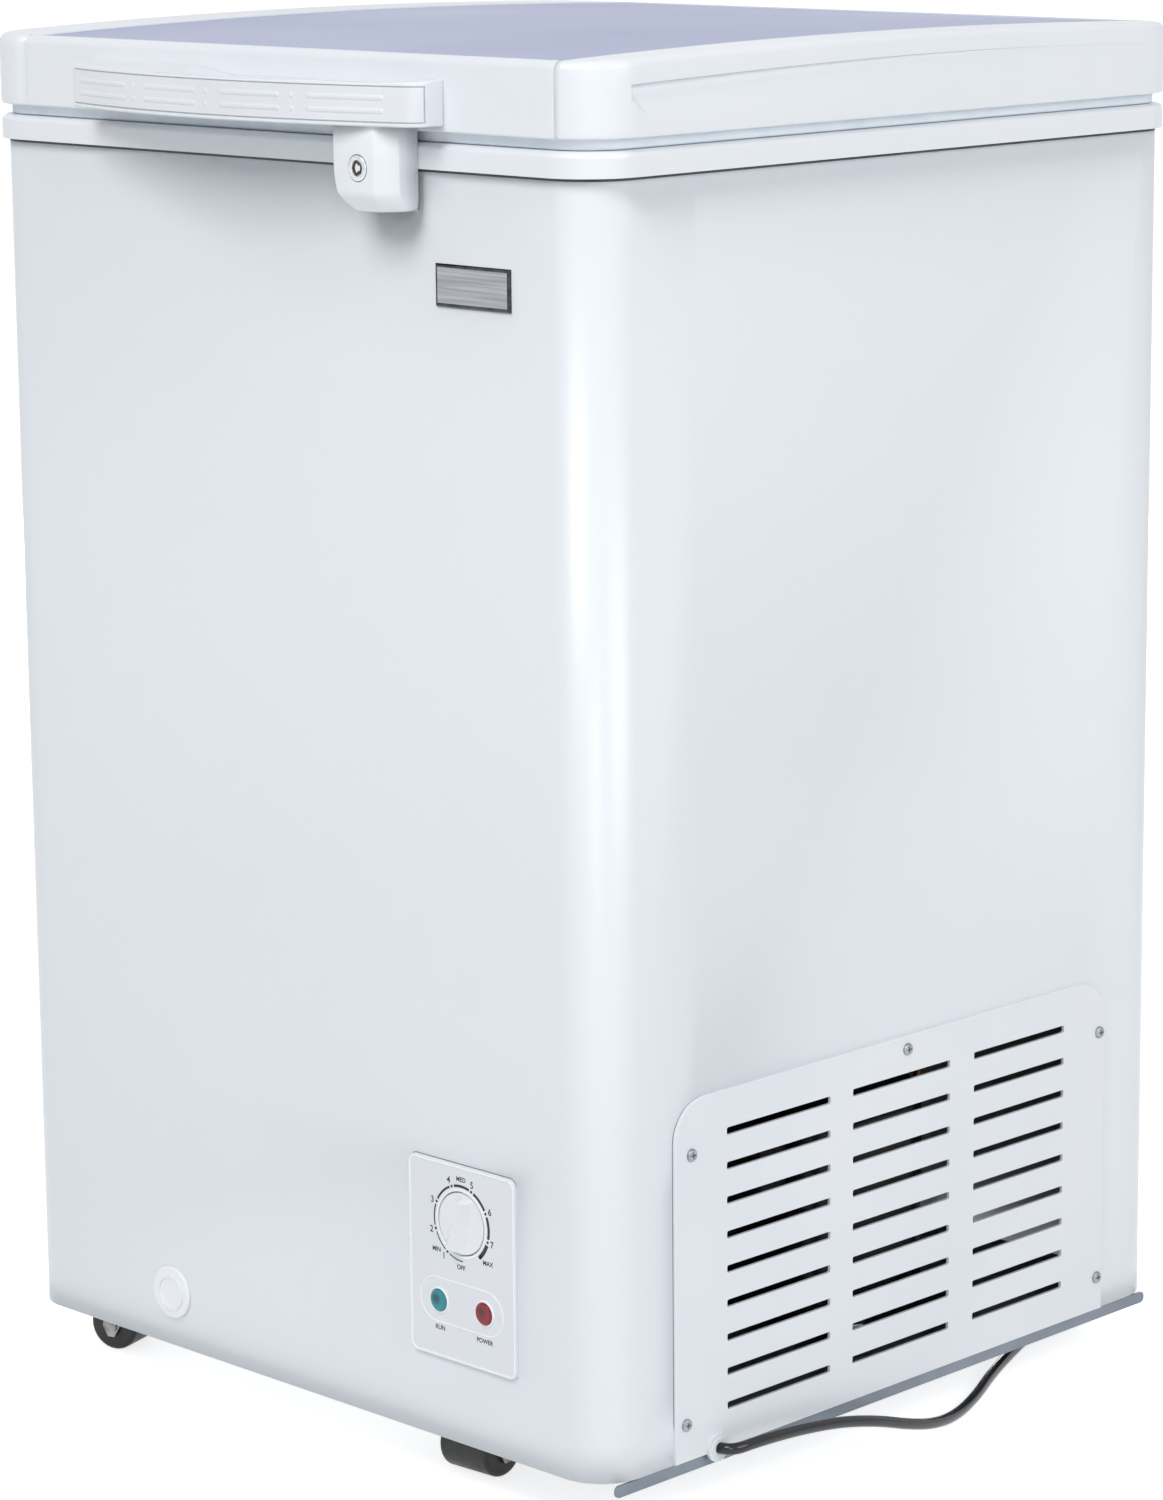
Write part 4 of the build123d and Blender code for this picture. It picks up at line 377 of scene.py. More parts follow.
dress(["compressor"],
      finish("black_enamel", (10, 11, 15), (18, 20, 27), 0.05, (0.20, 0.30), 0.0018, 0.00001))
dress(["terminal_cover", "thermostat"],
      finish("black_moulding", (26, 26, 28), (34, 34, 37), 0.02, (0.42, 0.55), 0.0008, 0.00003))
dress(["compressor_mounts"],
      finish("mount_rubber", (34, 34, 35), (44, 44, 46), 0.01, (0.70, 0.85), 0.0010, 0.00004))
dress(["filter_drier", "refrigerant_tubes"],
      finish("drawn_copper", (196, 122, 86), (168, 98, 66), 0.015, (0.25, 0.42), 0.0006, 0.000008, metal=1.0))
zinc_steel = finish("zinc_steel", (186, 188, 190), (160, 163, 167), 0.012, (0.26, 0.44), 0.0008, 0.000010,
                    metal=1.0)
dress(["compressor_bolts"], zinc_steel)

# ---------------------------------------- vent grille
# Moulded panel with three columns of nine air slots, held over the window in the right side by
# five plated pan-head screws, whose cross recesses are painted on as dark strips of shade.

grille_moulding = finish("grille_moulding", (233, 236, 240), (228, 232, 237), 0.15, (0.34, 0.42), 0.0012,
                         0.000014)
plated_screw = finish("plated_screw", (160, 164, 170), (132, 137, 144), 0.004, (0.25, 0.40), 0.0006, 0.00001,
                      metal=0.8)
dress(["vent_grille"], grille_moulding)
dress(["grille_screws"], plated_screw)
dress(["cord_grommet"], white_moulding)

# the panel's front edge stands off the wrap by a fine gap, whose shade is painted as a dark strip on the wrap
grille_middle, grille_half = (grille_low + grille_high) / 2, (grille_high - grille_low) / 2
grille_corner, shadow_strip_proud, shadow_strip_behind, shadow_strip_ahead = 0.025, 0.00004, 0.0002, 0.0004
shadow_strip_y, shadow_strip_z = ring(grille_half[1], grille_half[2], grille_corner, lead=0.0)
fore = shadow_strip_y[0] < -0.1
shadow_strip_y = shadow_strip_y[:, fore] + cabinet_middle[1] + np.array([[shadow_strip_behind], [-shadow_strip_ahead]])
shadow_strip_z = shadow_strip_z[:, fore] + grille_middle[2]
shadow_strip = np.stack(np.broadcast_arrays(box_high[0] + shadow_strip_proud, shadow_strip_y, shadow_strip_z), axis=-1)
piece("grille_shadow_line", [grid(shadow_strip)], painted_shadow, "cabinet")

# painted shade: each arm of a cross recess is a dark strip laid over the screw's domed head, which
# falls away by the square of the distance from its middle
screw_places = [(-0.1828, 0.2212), (0.0062, 0.2459), (0.1904, 0.2198), (0.1908, 0.0587), (-0.1881, 0.0597)]
head_front = corners("grille_screws")[1][0]
head_radius, head_rise, cross_lift, screw_turn = 0.0043, 0.0006, 0.00003, 0.35
arm = np.linspace(-0.0024, 0.0024, 9)
arm_half = np.array([[0.0005], [-0.0005]])
arms = []
for number, (y, z) in enumerate(screw_places):
    for turn in (screw_turn * number, screw_turn * number + np.pi / 2):
        across = arm * math.cos(turn) - arm_half * math.sin(turn)
        upward = arm * math.sin(turn) + arm_half * math.cos(turn)
        x = head_front + cross_lift - head_rise * (across ** 2 + upward ** 2) / head_radius ** 2
        arms.append(grid(np.stack([x, cabinet_middle[1] + y + across, z + upward], axis=-1)[::-1]))
piece("screw_recess_shadows", arms, painted_shadow, "cabinet", sharp=60)

# ---------------------------------------- mains lead
# Round lead with a 7 mm black rubber jacket, about 1.6 m long with its plug. It leaves through the
# grommet, drops beside the rail to the floor and runs under the cabinet, where the rest is coiled.

lead_rubber = finish("lead_rubber", (4, 4, 6), (9, 9, 12), 0.02, (0.12, 0.20), 0.0009, 0.000003)
lead_radius = 0.0035
lead_run = np.array([
    (0.2605, -0.1627, 0.0398),
    (0.2675, -0.1627, 0.0398),
    (0.2730, -0.1572, 0.0401),
    (0.2744, -0.1464, 0.0408),
    (0.2754, -0.1280, 0.0405),
    (0.2752, -0.1020, 0.0384),
    (0.2764, -0.0700, 0.0346),
    (0.2774, -0.0380, 0.0270),
    (0.2760, -0.0080, 0.0165),
    (0.2720, 0.0210, 0.0082),
    (0.2640, 0.0510, 0.0040),
    (0.2500, 0.0860, 0.0035),
    (0.2300, 0.1250, 0.0035),
    (0.2130, 0.1650, 0.0035),
    (0.1970, 0.2060, 0.0035),
    (0.1870, 0.2470, 0.0035),
    (0.1805, 0.2820, 0.0035),
    (0.1770, 0.3100, 0.0035),
]) + (0.0, cabinet_middle[1], 0.0)

# wound turns: two beside each other, three layers, the last crossing out over the winding
coil_low, coil_high = corners("cord_coil")
coil_middle = (coil_low + coil_high) / 2
turn_marks = [0.0, 0.82, 0.98, 1.66, 1.80, 2.40, 2.58, 3.08, 3.20, 3.33, 4.02, 4.12, 4.20, 4.30, 4.389]
turn_radii = [42.0, 42.0, 35.0, 35.0, 35.0, 35.0, 42.0, 42.0, 40.3, 35.0, 35.0, 38.0, 42.0, 43.0, 42.8]
turn_levels = [3.5, 3.5, 3.5, 3.5, 10.5, 10.5, 10.5, 10.5, 15.4, 17.5, 17.5, 20.6, 22.0, 17.0, 12.4]
coil_start = math.radians(10.0)
wound = np.linspace(0.0, turn_marks[-1], 71)
angle = coil_start + 2 * np.pi * wound
radius, height = (np.interp(wound, turn_marks, marks) / 1000.0 for marks in (turn_radii, turn_levels))
lead_coil = np.stack([coil_middle[0] + radius * np.cos(angle),
                      coil_middle[1] + radius * np.sin(angle), height], axis=1)

# the lead's end runs a little way into the plug
plug_heading = math.radians(240.0)
plug_tail = np.array([0.08025, 0.3238 + cabinet_middle[1], 0.011])
into_plug = np.array([math.cos(plug_heading), math.sin(plug_heading), 0.0])
lead_end = plug_tail + np.outer([-0.012, -0.004, 0.003], into_plug)

lead_points = np.concatenate([lead_run, lead_coil, lead_end])
lead_curve = bpy.data.curves.new("mains_lead", "CURVE")
lead_curve.dimensions = "3D"
lead_curve.bevel_depth = lead_radius
lead_curve.bevel_resolution = 5
lead_curve.use_fill_caps = True
lead_spline = lead_curve.splines.new("NURBS")
lead_spline.points.add(len(lead_points) - 1)
lead_spline.points.foreach_set("co", np.c_[lead_points, np.ones(len(lead_points))].ravel())
lead_spline.order_u = 3
lead_spline.use_endpoint_u = True
lead_spline.resolution_u = 6
lead_curve.materials.append(lead_rubber)
mains_lead = bpy.data.objects.new("mains_lead", lead_curve)
scene.collection.objects.link(mains_lead)
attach(mains_lead, "cabinet")
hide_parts("power_cord", "cord_coil")
dress(["mains_plug"],
      finish("plug_rubber", (12, 12, 13), (18, 18, 20), 0.015, (0.38, 0.52), 0.0007, 0.00003))

# ---------------------------------------- lid
# Crowned steel skin between two moulded end caps and a trim at the front and back, foamed in one
# piece with the inner panel; a magnetic gasket runs round its underside.

# the skin's enamel is darker and bluer than the walls': partly its own tint, partly painted shade and
# reflection of the top
lid_enamel = finish("lid_enamel", (146, 154, 191), (140, 148, 186), 0.30, (0.32, 0.40), 0.0030, 0.000010)
dress(["lid_top_skin"], lid_enamel)
dress(["lid_front_trim", "lid_rear_trim", "lid_liner"], white_moulding)
# painted light: the gasket's rubber is made near-white, lighter than it is, so it shows bright in the gap's
# shade
dress(["lid_gasket"],
      finish("gasket_rubber", (236, 242, 248), (228, 236, 244), 0.03, (0.55, 0.70), 0.0012, 0.00003))

cap_low, cap_high = corners("lid_right_cap")
lid_half_x, lid_half_y = cap_high[0], (cap_high[1] - cap_low[1]) / 2
lid_floor, lid_peak = cap_low[2], cap_high[2]
lid_corner, lid_crown, cap_wall = 0.035, 0.005, 0.0018
crown_radius = (lid_half_y ** 2 + lid_crown ** 2) / (2 * lid_crown)


def lid_top(y):
    """Height of the lid's top: the crest of a wide circle, highest in the middle from front to back."""
    return lid_peak - crown_radius + np.sqrt(crown_radius ** 2 - y ** 2)


def ease(value, low, high):
    """0 below low, 1 above high, and a cubic without corners between them."""
    part = np.clip((value - low) / (high - low), 0.0, 1.0)
    return part * part * (3.0 - 2.0 * part)


# the scoop pressed into each cap's side: its ends from front to rear, how far its upper line lies
# below the lid's top and its foot above the underside, and its depth
scoop_front, scoop_rear, scoop_slant, scoop_edge = -0.2290, 0.2255, 0.020, 0.0022
scoop_brink, scoop_sag, scoop_toe = 0.0124, 0.0018, 0.0065
scoop_deep, scoop_fade = 0.0050, 0.0046
scoop_mouth = np.linspace(-0.2275, -0.2000, 34)


def cap_outline(seam):
    """Plan of a cap from the front seam round the side to the rear seam: places, outward directions.
    Each corner is a quarter circle, cut short where the seam lies in it; the rear mirrors the front."""
    start = math.asin(max(0.0, (seam - lid_half_x + lid_corner) / lid_corner))
    turn = np.linspace(start, np.pi / 2, 13)
    straight = lid_half_y - lid_corner
    side = np.unique(np.r_[np.linspace(-straight, straight, 46), scoop_front, scoop_mouth])
    side = side[np.abs(side) < straight]
    flat = 1 if seam < lid_half_x - lid_corner else 0
    corner_x = lid_half_x - lid_corner * (1 - np.sin(turn))
    corner_y = lid_corner * (1 - np.cos(turn)) - lid_half_y
    x = np.r_[[seam] * flat, corner_x, np.full(len(side), lid_half_x)]
    y = np.r_[[-lid_half_y] * flat, corner_y, side]
    aim_x = np.r_[[0.0] * flat, np.sin(turn), np.ones(len(side))]
    aim_y = np.r_[[-1.0] * flat, -np.cos(turn), np.zeros(len(side))]
    mirror = slice(len(x) - len(side) - 1, None, -1)
    return (np.r_[x, x[mirror]], np.r_[y, -y[mirror]],
            np.r_[aim_x, aim_x[mirror]], np.r_[aim_y, -aim_y[mirror]])


def end_cap(name, seam, side, node):
    """Cap of the lid: its plan is carried up a profile of underside, rounded foot, wall, rounded top
    edge and top. Below a curved line the wall is pressed in: deepest under that line and at the
    front, less by a power of 1.5 down to its foot and by a smooth step to the rear. Its front end
    slants back, by the square of the distance down."""
    x, y, aim_x, aim_y = cap_outline(seam)
    foot, edge, flange, flange_round = 0.0015, 0.005, 0.0237, 0.008
    arc = np.linspace(0.0, np.pi / 2, 6)[:, None]
    share = np.linspace(0.0, 1.0, 16)[:, None]
    brink = lid_top(y) - scoop_brink - scoop_sag * ease(-y, -0.10, 0.229)
    toe = lid_floor + scoop_toe
    slant = scoop_slant * (1 - share) ** 2.0
    opening = ease(y, scoop_front + slant, scoop_front + scoop_edge + slant) * (y < scoop_rear)
    pressed = (scoop_deep - scoop_fade * ease(y, -0.26, 0.20)) * opening * share ** 1.5
    top = lid_top(y) - edge
    rows = [(flange, lid_floor), (flange_round, lid_floor)]
    rows += [(foot * (1 - np.sin(a)), lid_floor + foot * (1 - np.cos(a))) for a in arc]
    rows += list(zip(pressed, toe + (brink - toe) * share))
    rows += [(0.0, brink + step) for step in (0.00012, 0.0012)]
    rows += [(edge * (1 - np.cos(a)), top + edge * np.sin(a)) for a in arc]
    inset = np.stack([np.broadcast_to(row[0], y.shape) for row in rows])
    z = np.stack([np.broadcast_to(row[1], y.shape) for row in rows])
    px, py = x - inset * aim_x, y - inset * aim_y
    crest = slice(-len(arc), None)
    z[crest] = z[crest] - lid_top(y) + lid_top(py[crest])

    # across the top to the seam, and a short lip down against the steel skin
    brim = seam + 0.0004
    run = np.array([0.5, 1.0])[:, None]
    rim_x = px[-1] + (brim + 0.0008 - px[-1]) * run
    rim_y = np.broadcast_to(py[-1], rim_x.shape)
    lip_x = np.broadcast_to(np.array([[brim + 0.0002], [brim], [brim]]), (3, len(y)))
    lip_z = lid_top(py[-1]) - np.array([[0.0002], [0.0008], [0.0026]])
    px = np.concatenate([px, rim_x, lip_x]) * side
    py = np.concatenate([py, rim_y, np.broadcast_to(py[-1], lip_x.shape)])
    z = np.concatenate([z, lid_top(rim_y), lip_z])
    px = np.where(px * side < brim, brim * side, px)
    points = np.stack([px, py + cabinet_middle[1], z], axis=-1)
    cap = piece(name, [grid(points, flip=side < 0)], white_moulding, "lid", [node], sharp=32)
    return wall_of(cap, cap_wall)


right_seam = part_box("lid_right_cap")[0][0]
left_seam = -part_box("lid_left_cap")[1][0]
end_cap("lid_cap_right", right_seam, 1, "lid_right_cap")
end_cap("lid_cap_left", left_seam, -1, "lid_left_cap")

# ---------------------------------------- handle
# Hollow bowed moulding screwed to the lid's front from inside, dished on top for the fingers; a
# ribbed grip plate is let into its face and runs round the corners at its ends.

handle_low, handle_high = corners("lid_handle")
handle_half, handle_floor, handle_crest = handle_high[0], handle_low[2], handle_high[2]
lid_face = cap_low[1] - cabinet_middle[1]
handle_tip = handle_low[1] - cabinet_middle[1]
bow, handle_round, handle_fall, dish_deep = 0.023, 0.012, 0.002, 0.0040
bow_radius = (handle_half ** 2 + bow ** 2) / (2 * bow)
bow_middle = bow_radius + handle_tip
corner_x = handle_half - handle_round
corner_y = bow_middle - math.sqrt((bow_radius - handle_round) ** 2 - corner_x ** 2)
corner_turn = math.asin(corner_x / (bow_radius - handle_round))
grip_end = math.radians(78.0)


def bowed(turn, inset):
    """Place on the handle's plan for an outward direction turned from the front: a wide arc, and a
    small one at each corner, both drawn in by inset."""
    inset = np.broadcast_to(inset, np.broadcast_shapes(np.shape(turn), np.shape(inset)))
    on_bow = np.abs(turn) <= corner_turn
    reach = np.where(on_bow, bow_radius, handle_round) - inset
    x = np.where(on_bow, 0.0, np.sign(turn) * corner_x) + reach * np.sin(turn)
    y = np.where(on_bow, bow_middle, corner_y) - reach * np.cos(turn)
    return x, y


def handle_top(x, y):
    """Height of the handle's top: a gentle fall to the front and, towards the lid, a dished place for
    the fingers that is eased in from both ends and from the front."""
    back = (y - handle_tip) / (lid_face - handle_tip)
    dish = ease(x, -0.058, -0.022) * ease(-x, -0.138, -0.104)
    return handle_crest - handle_fall * (1 - back) - dish_deep * dish * ease(back, 0.16, 0.72)


turn = np.unique(np.r_[np.linspace(0, corner_turn, 60), np.linspace(corner_turn, grip_end, 8),
                       grip_end + 0.004, np.linspace(grip_end + 0.01, np.pi / 2, 8)])
turn = np.r_[-turn[:0:-1], turn]
end_steps = 4
end_run = np.linspace(corner_y, lid_face, end_steps + 1)[1:]
everywhere = np.ones(len(turn) + 2 * end_steps)
in_pocket = np.r_[np.zeros(end_steps), np.abs(turn) <= grip_end + 0.001, np.zeros(end_steps)]
grip_low, grip_high = corners("handle_grip_plate")
grip_joint, pocket_deep, pocket_slope = 0.0003, 0.0012, 0.00005
pocket_low, pocket_high = grip_low[2] - grip_joint, grip_high[2] + grip_joint
handle_foot, handle_edge, handle_wall = 0.0008, 0.0010, 0.0024

# rows of the shell from its foot up the bowed face, with the pocket for the grip plate, over the
# rounded upper edge, and back along the dished top to the lid
walls = [(handle_foot * everywhere, handle_floor), (0 * everywhere, handle_floor + handle_foot),
         (0 * everywhere, pocket_low), (pocket_deep * in_pocket, pocket_low + pocket_slope),
         (pocket_deep * in_pocket, pocket_high - pocket_slope), (0 * everywhere, pocket_high)]
rows = []
for depth, level in walls:
    x, y = bowed(turn, depth[end_steps:-end_steps])
    x = np.r_[-handle_half + depth[:end_steps], x, handle_half - depth[-end_steps:]]
    y = np.r_[end_run[::-1], y, end_run]
    rows.append((x, y, np.full_like(x, level)))
for a in np.linspace(0.0, np.pi / 2, 6):
    inset = handle_edge * (1 - np.cos(a))
    x, y = bowed(turn, inset)
    x = np.r_[np.full(end_steps, -handle_half + inset), x, np.full(end_steps, handle_half - inset)]
    y = np.r_[end_run[::-1], y, end_run]
    rows.append((x, y, handle_top(x, y) - handle_edge * (1 - np.sin(a))))
top_starts = len(rows) - 1
rim_x, rim_y = rows[-1][:2]
target_x = np.clip(rim_x, -handle_half + handle_edge, handle_half - handle_edge)
for share in np.linspace(0.0, 1.0, 17)[1:]:
    x, y = rim_x + (target_x - rim_x) * share, rim_y + (lid_face - rim_y) * share
    rows.append((x, y, handle_top(x, y)))
shell = np.stack([np.stack(row, axis=-1) for row in rows]) + (0.0, cabinet_middle[1], 0.0)
kept = np.ones((len(rows) - 1, len(rim_x) - 1), bool)
kept[top_starts:, :end_steps] = kept[top_starts:, -end_steps:] = False
carry_handle = piece("carry_handle", [grid(shell, keep=kept)], white_moulding, "lid",
                     ["lid_handle"], sharp=40)
wall_of(carry_handle, handle_wall)

# three bosses inside the handle take the screws that come through the lid's front
boss_radius, boss_length, boss_drop = 0.0038, 0.012, 0.0080
boss_turn = np.linspace(0.0, 2 * np.pi, 33)[:-1]
boss_reach = np.array([[0.0], [boss_radius], [boss_radius]])
boss_y = cap_low[1] - np.array([[boss_length], [boss_length], [0.0]])
boss_z = handle_crest - boss_drop + boss_reach * np.sin(boss_turn)
bosses = []
for boss_x in (-0.110, 0.0, 0.110):
    tube = np.stack(np.broadcast_arrays(boss_x + boss_reach * np.cos(boss_turn), boss_y, boss_z), axis=-1)
    bosses.append(grid(tube, around=True))
piece("handle_bosses", bosses, white_moulding, "lid", sharp=40)

# grip plate: four pairs of ribs with a pair of studs in each gap between them, each rounded off by
# a smooth step of the distance from its middle line
grip_moulding = finish("grip_moulding", (232, 234, 238), (226, 229, 234), 0.08, (0.34, 0.42), 0.0012, 0.00001)
rib_spans = np.array([(-0.134, -0.079), (-0.059, -0.010), (0.011, 0.058), (0.078, 0.129)])
studs = np.array([-0.070, -0.001, 0.067])
rib_levels = grip_low[2] + np.array([0.31, 0.68]) * (grip_high[2] - grip_low[2])
rib_radius, rib_rise = 0.0014, 0.0007
plate_end, plate_border, plate_round, plate_back = 0.03, 0.0006, 0.0004, pocket_deep - 0.0002
plate_corner = np.linspace(corner_turn, grip_end - plate_end, 14)[1:]
grip_turn = np.r_[-plate_corner[::-1], np.linspace(-corner_turn, corner_turn, 440), plate_corner]
levels = np.linspace(grip_low[2] + plate_border, grip_high[2] - plate_border, 48)
across = bowed(grip_turn, 0.0)[0]
ribs = np.concatenate([rib_spans + (rib_radius, -rib_radius), np.stack([studs, studs], axis=-1)])
past = np.maximum(ribs[:, 0, None] - across, across - ribs[:, 1, None]).clip(0.0).min(axis=0)
off_level = np.abs(levels[:, None] - rib_levels).min(axis=1)
away_from_rib = np.hypot(past, off_level[:, None])
raised = rib_rise * (1 - ease(away_from_rib, rib_radius - 0.0007, rib_radius + 0.0002))
inset = np.pad(-raised, ((2, 2), (0, 0)))
inset[[1, -2]] = plate_round
inset[[0, -1]] = inset[:, [0, -1]] = plate_back
rim_levels = np.array([0.0003, 0.0004])
plate_z = np.r_[grip_low[2] + rim_levels, levels, grip_high[2] - rim_levels[::-1]][:, None]
x, y = bowed(grip_turn, inset)
face = np.stack(np.broadcast_arrays(x, y + cabinet_middle[1], plate_z), axis=-1)
piece("grip_plate", [grid(face)], grip_moulding, "lid", ["handle_grip_plate"], sharp=50)

# ---------------------------------------- control panel
# Moulded plate snapped into its window at the lower right of the front: a dish for the knob and
# two round lamps, beads moulded round them, and the dial's marks printed on it.

dress(["control_panel"],
      finish("panel_moulding", (232, 235, 239), (228, 231, 236), 0.20, (0.34, 0.42), 0.0020, 0.000008))
knob_moulding = finish("knob_moulding", (238, 240, 243), (232, 235, 239), 0.05, (0.20, 0.28), 0.0015,
                       0.000006)
# the beads' moulding is a whiter copy of the panel's: painted highlight along the raised lines
bead_moulding_and_highlight = finish("bead_moulding_and_highlight", (246, 248, 250), (242, 244, 247), 0.05, (0.22, 0.30), 0.0015,
                       0.000005)


def lens_glass(name, colour, shade, lamp):
    """Tinted clear plastic with a polished skin: full in colour towards its edge, and darker nearer
    the lamp's axis, by the distance from it: painted shade where the bulb sits behind it."""
    material = finish(name, colour, shade, 0.002, (0.06, 0.12), 0.0015, 0.000004, sheen=0.2)
    tree = material.node_tree
    tree.nodes["Principled BSDF"].inputs["Specular IOR Level"].default_value = 0.3
    painted_shade_middle = sum(corners(lamp)) / 2 + (-0.0012, 0.0, 0.0010)
    painted_shade_middle[1] = corners(lamp)[0][1]
    place = next(node for node in tree.nodes if node.type == "TEX_COORD")
    apart = tree.nodes.new("ShaderNodeVectorMath")
    apart.operation = "DISTANCE"
    apart.inputs[1].default_value = painted_shade_middle
    near = tree.nodes.new("ShaderNodeMapRange")
    near.inputs["From Min"].default_value = 0.0046
    near.inputs["From Max"].default_value = 0.0016
    blend = next(node for node in tree.nodes if node.type == "MIX")
    tree.links.new(place.outputs["Object"], apart.inputs[0])
    tree.links.new(apart.outputs["Value"], near.inputs["Value"])
    tree.links.new(near.outputs[0], blend.inputs["Factor"])
    return material


dress(["green_lamp"], lens_glass("green_lens", (0, 138, 146), (0, 74, 88), "green_lamp"))
dress(["red_lamp"], lens_glass("red_lens", (140, 6, 32), (88, 0, 18), "red_lamp"))

panel_face = panel_low[1]
knob_low, knob_high = corners("thermostat_knob")
dial = (knob_low + knob_high) / 2
lamps = [sum(corners(lamp)) / 2 for lamp in ("green_lamp", "red_lamp")]
middle = (panel_low + panel_high) / 2
panel_half = (panel_high - panel_low) / 2


def bead(centre, half_x, half_z, corner, half, rise):
    """Raised line on the panel: half an ellipse, carried round a rounded rectangle or a circle."""
    turn = np.linspace(0.0, np.pi, 9)
    out = half * np.cos(turn)
    x, z = ring(half_x + out, half_z + out, corner + out, lead=0.0)
    y = panel_face - rise * np.sin(turn)[:, None]
    return grid(np.stack(np.broadcast_arrays(centre[0] + x, y, centre[2] + z), axis=-1), around=True)


rim_inset, rim_corner, dial_ring, lamp_ring = 0.0014, 0.0046, 0.0203, 0.0074
lamps_frame, frame_half_x, frame_half_z = (0.1468, 0.0, 0.1226), 0.0345, 0.0135
beads = [bead(middle, panel_half[0] - rim_inset, panel_half[2] - rim_inset, rim_corner, 0.0008, 0.0006),
         bead(dial, dial_ring, dial_ring, dial_ring, 0.0009, 0.0006),
         bead(lamps_frame, frame_half_x, frame_half_z, frame_half_z, 0.0006, 0.0005)]
beads += [bead(lamp, lamp_ring, lamp_ring, lamp_ring, 0.0007, 0.0010) for lamp in lamps]
piece("panel_beads", beads, bead_moulding_and_highlight, "cabinet", sharp=60)

# knob: a round cap whose face rises to a ridge that narrows towards the pointing end; it falls off
# by the distance from its line over its half width, is cut off blunt, and sinks to the rim
pointing = math.radians(72.5)
knob_radius, knob_edge = (knob_high[0] - knob_low[0]) / 2, 0.0006
knob_face, ridge_rise, ridge_cut = panel_face - 0.0005, 0.0070, 1.15
turn = np.linspace(0.0, 2 * np.pi, 181)[:-1]
knob_bevel = np.linspace(0.3, np.pi / 2, 4)
reach = np.r_[np.linspace(0.0, knob_radius - knob_edge, 50),
              knob_radius - knob_edge * (1 - np.sin(knob_bevel))][:, None]
x, z = reach * np.cos(turn), reach * np.sin(turn)
along_ridge = x * math.cos(pointing) + z * math.sin(pointing)
across_ridge = z * math.cos(pointing) - x * math.sin(pointing)
ridge_wide, ridge_taper, ridge_round = 0.0085, 0.0040, 0.003
ridge_half = ridge_wide - ridge_taper * (along_ridge + knob_radius) / (2 * knob_radius)
slope = np.sqrt((across_ridge / ridge_half) ** 2 + ridge_round)
ridge_ends = ease(-np.abs(along_ridge), -knob_radius + 0.0002, -knob_radius + 0.0030)
height = ridge_rise * np.clip(ridge_cut * (1.0 - slope), 0.0, 1.0) * ridge_ends
bevel = knob_edge - np.sqrt(knob_edge ** 2 - np.clip(reach - knob_radius + knob_edge, 0.0, None) ** 2)
x, y, z = (np.concatenate([part, part[-1:]]) for part in (x, knob_face - height + bevel, z))
y[-1] = knob_high[1]
face = np.stack([dial[0] + x, y, dial[2] + z], axis=-1)[::-1]
piece("dial_knob", [grid(face, around=True)], knob_moulding, "thermostat_knob",
      ["thermostat_knob"], sharp=30)

# the panel rests on its window's lower edge, so a fine gap shows above it, painted as a dark strip of shadow
panel_corner, shadow_strip_half = 0.006, 0.0004
shadow_strip_x, shadow_strip_z = ring(panel_half[0], panel_half[2], panel_corner, lead=0.0)
upper = slice(0, shadow_strip_x.shape[1] // 2)
shadow_strip_x, shadow_strip_z = middle[0] + shadow_strip_x[:, upper], middle[2] + shadow_strip_z[:, upper]
shadow_strip_y = box_low[1] - 0.00003
shadow_strip_z = shadow_strip_z + np.array([[shadow_strip_half], [-shadow_strip_half]])
shadow_strip = np.stack(np.broadcast_arrays(shadow_strip_x, shadow_strip_y, shadow_strip_z), axis=-1)
piece("panel_shadow_line", [grid(shadow_strip)], painted_shadow, "cabinet")

# printed marks: a stroke that widens from OFF to MAX, broken at seven dots and ended by a larger one
printing_ink = finish("printing_ink", (6, 8, 12), (12, 14, 18), 0.01, (0.45, 0.60), 0.0005, 0.000003)
print_face = panel_face - 0.00004
mark_angles = np.radians([-88.0, -122.0, -162.0, -205.0, -250.0, -292.0, -333.0, -377.0, -408.0])
mark_widths = np.array([0.75, 0.85, 1.05, 1.35, 1.6, 1.8, 1.95, 2.6]) / 1000
mark_ring = 0.0227


def fan(centre, inner, outer, start, end):
    """Part of a flat ring between two angles, as a grid of two rows."""
    angle = np.linspace(start, end, 33)
    reach = np.array([[outer], [inner]])
    points = centre[0] + reach * np.cos(angle), print_face, centre[2] + reach * np.sin(angle)
    return grid(np.stack(np.broadcast_arrays(*points), axis=-1))


marks = []
dot_radius, last_dot_radius, gap = 0.0009, 0.0013, math.radians(5.0)
stops = gap * np.r_[0, np.ones(7), 0]
for start, end, free, held, width in zip(mark_angles[1:], mark_angles, stops[1:], stops, mark_widths):
    marks.append(fan(dial, mark_ring - width / 2, mark_ring + width / 2, start + free, end - held))
for angle, radius in zip(mark_angles[1:], [dot_radius] * 7 + [last_dot_radius]):
    spot = (dial[0] + mark_ring * math.cos(angle), 0.0, dial[2] + mark_ring * math.sin(angle))
    marks.append(fan(spot, 0.0, radius, 0.0, 2 * np.pi))
piece("dial_marks", marks, printing_ink, "cabinet")

